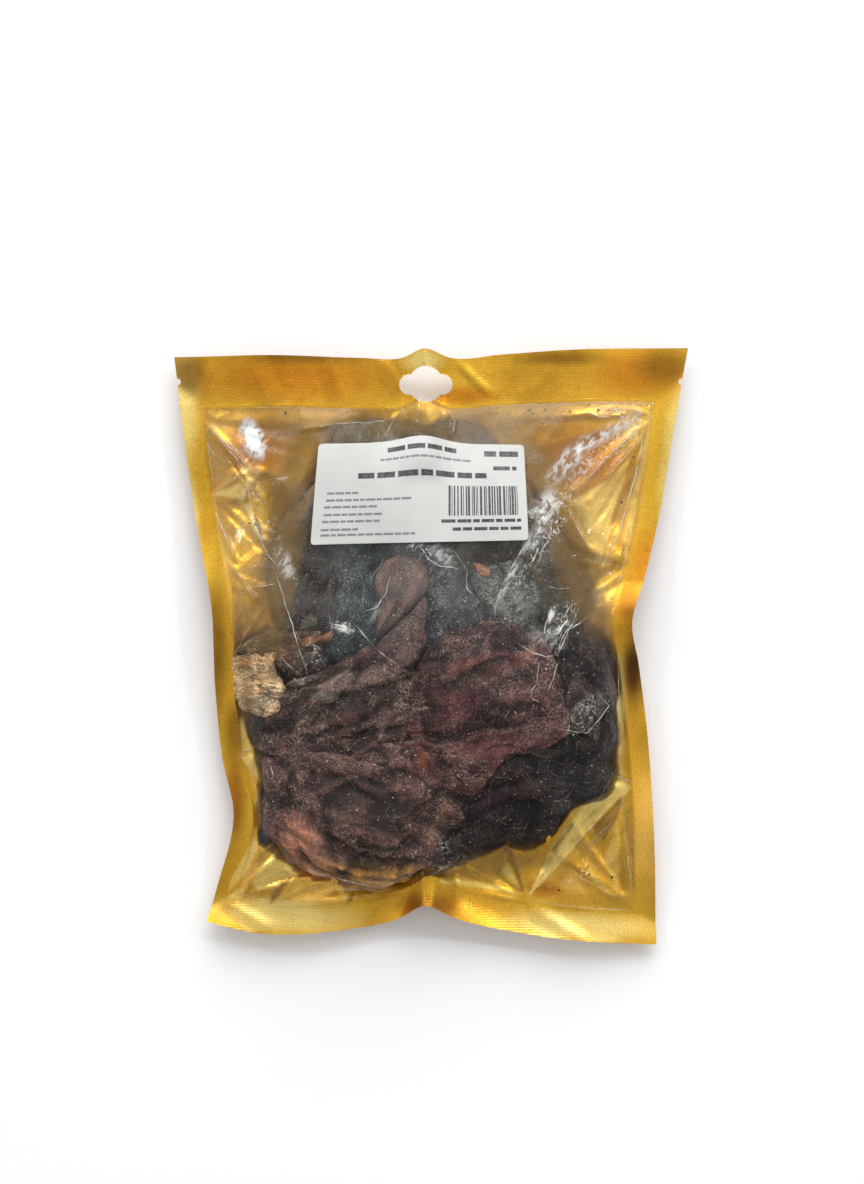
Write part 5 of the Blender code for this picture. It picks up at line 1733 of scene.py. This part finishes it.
def fibre_parts(fish, film):
    """Fine curved fibres that lie on the dried flesh."""
    for place, heading, draw in pile_spots(FIBRES, 31):
        way = math.radians(heading) + draw.normal(0, FIBRE_SPREAD)
        bend, step, thick = draw.normal(0, FIBRE_BEND), draw.uniform(*FIBRE_STEP), draw.uniform(*FIBRE_THICK)
        path = [place]
        for _ in range(FIBRE_STEPS):
            path.append(path[-1] + step * np.array([math.cos(way), math.sin(way)]))
            way += bend
        path = np.array(path)
        heights = np.minimum(cast(fish, path) + FIBRE_LIFT, cast(film, path) - FIBRE_CLEARANCE)
        if np.isnan(heights).any() or np.abs(np.diff(heights)).max() > FIBRE_BREAK:
            continue
        yield tube(np.column_stack([path, heights]), thick)


def scrap(draw, place, height, size):
    """A small jagged flake, as points and faces."""
    corners = np.array([(1, 0, 0), (0, 1, 0), (-1, 0, 0), (0, -1, 0), (0, 0, 1), (0, 0, -1)], float)
    corners *= size * draw.uniform(0.5, 1.5, (6, 1)) * (1.0, 1.0, 0.45)
    turn = draw.uniform(0, math.pi)
    spin = np.array([[math.cos(turn), math.sin(turn), 0], [-math.sin(turn), math.cos(turn), 0], [0, 0, 1]])
    faces = [(n, (n + 1) % 4, 4) for n in range(4)] + [((n + 1) % 4, n, 5) for n in range(4)]
    return corners @ spin + (*place, height), np.array(faces)


def flake_parts(fish, film):
    """Small flakes that lie on the dried flesh, most of them near the smallest size."""
    for place, _, draw in pile_spots(FLAKES, 37):
        size = FLAKE_SIZE + FLAKE_SPREAD * draw.uniform(0, 1) ** 3
        over, under = float(cast(fish, place[None])[0]), float(cast(film, place[None])[0])
        height = min(over + FLAKE_LIFT, under - FLAKE_CLEARANCE)
        if not math.isnan(height):
            yield scrap(draw, place, height, size)


def crumb_parts(film):
    """Dark crumbs that stick to the inside of the film."""
    draw = np.random.default_rng(41)
    for place in np.array(CRUMBS):
        size = draw.uniform(0.4, 0.8)
        yield scrap(draw, place, float(cast(film, place[None])[0]) - FILM_THICK - 0.7 * size, size)


def add_scraps():
    """Loose fibres, flakes and crumbs in the pouch."""
    film = mesh_tree(bpy.data.meshes["film_front"])
    fish = mesh_tree(*(bpy.data.meshes[f"fish_{name}"] for name in FISH))
    parts = {"fibre": fibre_parts(fish, film), "flake": flake_parts(fish, film), "crumb": crumb_parts(film)}
    for name, shades in SCRAP_SHADES.items():
        mesh = joined_mesh(f"fish_{name}s", list(parts[name]))
        show(mesh.name, mesh, scrap_material(name, *shades))


def add_crests():
    """Thin crests along the film's sharp creases, painted bright white as glints."""
    film = mesh_tree(bpy.data.meshes["film_front"])
    draw = np.random.default_rng(53)
    parts = []
    for points, _, _, thick in CREASES:
        if not thick:
            continue
        points = np.array(points)
        lengths = np.concatenate([[0.0], np.cumsum(np.linalg.norm(np.diff(points, axis=0), axis=1))])
        count = max(5, int(lengths[-1] / CREST_STEP))
        at = np.linspace(0, lengths[-1], count)
        path = np.stack([np.interp(at, lengths, points[:, n]) for n in range(2)], 1)
        along = np.stack([at, np.zeros(count)], 1)
        wander = np.stack([noise_field(along, WANDER_LENGTH, draw.integers(99)) for _ in range(2)], 1)
        path += CREST_WANDER * wander
        heights = cast(film, path) + CREST_LIFT
        swell = 1 + CREST_SWELL * noise_field(along, SWELL_LENGTH, draw.integers(99))
        parts.append(tube(np.column_stack([path, heights]), thick * np.clip(swell, 0.25, 2.0)[:, None]))
    show("film_crest_glints", joined_mesh("film_crest_glints", parts), crest_material())


def add_label():
    """The paper label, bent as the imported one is."""
    ends = LABEL_CORNER * (1 - np.cos(np.linspace(0, math.pi / 2, 6)[:-1]))
    between = np.linspace(LABEL_CORNER, LABEL_HEIGHT - LABEL_CORNER, LABEL_ROWS)
    along = np.concatenate([ends, between, LABEL_HEIGHT - ends[::-1]])
    plan = label_plan(np.linspace(0, 1, LABEL_COLUMNS), along / LABEL_HEIGHT)
    heights = cast(mesh_tree(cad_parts["label"].data), plan)
    while np.isnan(heights).any():
        wide = np.pad(heights, 1, constant_values=np.nan)
        around = np.stack([wide[:-2, 1:-1], wide[2:, 1:-1], wide[1:-1, :-2], wide[1:-1, 2:]])
        known = np.maximum(np.count_nonzero(~np.isnan(around), axis=0), 1)
        near = np.where(np.isnan(around).all(0), np.nan, np.nansum(around, axis=0) / known)
        heights = np.where(np.isnan(heights), near, heights)
    heights = blurred(heights, LABEL_SMOOTH_PASSES)
    mesh = sheet_mesh("label_sheet", plan, heights, heights - LABEL_THICK)
    show("label_sheet", mesh, paper_material(), "label")
    add_print(mesh_tree(mesh))


def printed(label, left, right, low, high):
    """A thin printed bar that follows the label, as points and faces."""
    across = np.linspace(left, right, 2 + int((right - left) / PRINT_STEP)) / LABEL_WIDTH
    along = np.linspace(low, high, 2 + int((high - low) / PRINT_STEP)) / LABEL_HEIGHT
    plan = label_plan(across, along)
    over = cast(label, plan) + PRINT_LIFT
    points = [np.dstack([plan, z]).reshape(-1, 3) for z in (over, over - PRINT_THICK)]
    return np.concatenate(points), sheet_faces(*over.shape)


def add_print(label):
    """Plain bars where the label is printed: word-long dashes, and a block of stripes."""
    draw = np.random.default_rng(5)
    bars = {shade: [] for shade in INKS}
    for left, right, middle, half, shade in PRINT_LINES:
        at = left
        while at < right - 1.5 * half:
            end = min(right, at + draw.uniform(4.0, 9.0) * half)
            bars[shade].append(printed(label, at, end, middle - half, middle + half))
            at = end + 1.1 * half
    at, right, low, high = STRIPES
    while at < right:
        thick = draw.choice(STRIPE_WIDTHS)
        bars["black"].append(printed(label, at, at + thick, low, high))
        at += thick + draw.choice(STRIPE_GAPS)
    for shade, colour in INKS.items():
        mesh = joined_mesh(f"label_print_{shade}", bars[shade])
        show(mesh.name, mesh, ink_material(f"ink_{shade}", colour))


def add_stage():
    """Floor, lights, surroundings and camera."""
    mesh = bpy.data.meshes.new("floor")
    corners = [(-1, -1), (1, -1), (1, 1), (-1, 1)]
    mesh.from_pydata([(x * FLOOR_HALF, y * FLOOR_HALF, 0) for x, y in corners], [], [(0, 1, 2, 3)])
    floor = bpy.data.objects.new("floor", mesh)
    floor.location.z = -FLOOR_DROP
    bpy.context.scene.collection.objects.link(floor)
    mesh.materials.append(floor_material())
    for name, (x, y, z, size, power) in LIGHTS.items():
        light = bpy.data.lights.new(name, "AREA")
        light.size = size
        light.energy = power
        lamp = bpy.data.objects.new(name, light)
        lamp.location = (x, y, z)
        lamp.rotation_euler = (-lamp.location).to_track_quat("-Z", "Y").to_euler()
        bpy.context.scene.collection.objects.link(lamp)
    add_world()
    add_camera()


def add_world():
    """A pale uneven studio, lighter towards the top of the picture."""
    world = bpy.data.worlds.new("studio")
    world.use_nodes = True
    tree = world.node_tree
    way = node(tree, "ShaderNodeTexCoord").outputs["Generated"]
    parts = node(tree, "ShaderNodeSeparateXYZ", {0: way})
    shade = ramp(tree, parts.outputs["Y"], -0.6, 0.6, 0.5, 0.88)
    uneven = ramp(tree, texture(tree, way, 0.35, 2.0), 0.38, 0.62, 0.55, 1.4)
    strength = times(tree, shade, uneven)
    fill(tree, tree.nodes["Background"], {"Color": (1.0, 1.0, 1.0, 1.0), "Strength": strength})
    bpy.context.scene.world = world


def add_camera():
    """Straight above the pouch, framed as in the photograph."""
    camera = bpy.data.cameras.new("camera")
    camera.lens = camera.sensor_width * CAMERA_HEIGHT / VIEW_HEIGHT
    eye = bpy.data.objects.new("camera", camera)
    eye.location = (*VIEW_CENTRE, CAMERA_HEIGHT + VIEW_LEVEL)
    bpy.context.scene.collection.objects.link(eye)
    bpy.context.scene.camera = eye


def main():
    bpy.context.scene.view_settings.view_transform = "Standard"
    pouch = Pouch()
    gold = gold_material()
    foil = show("foil_back", pouch.foil_mesh(), gold, "pouch")
    show("film_front", pouch.film_mesh(), film_material(), "pouch")
    add_fish()
    add_scraps()
    add_crests()
    cut_openings(foil)
    add_label()
    add_stage()


main()
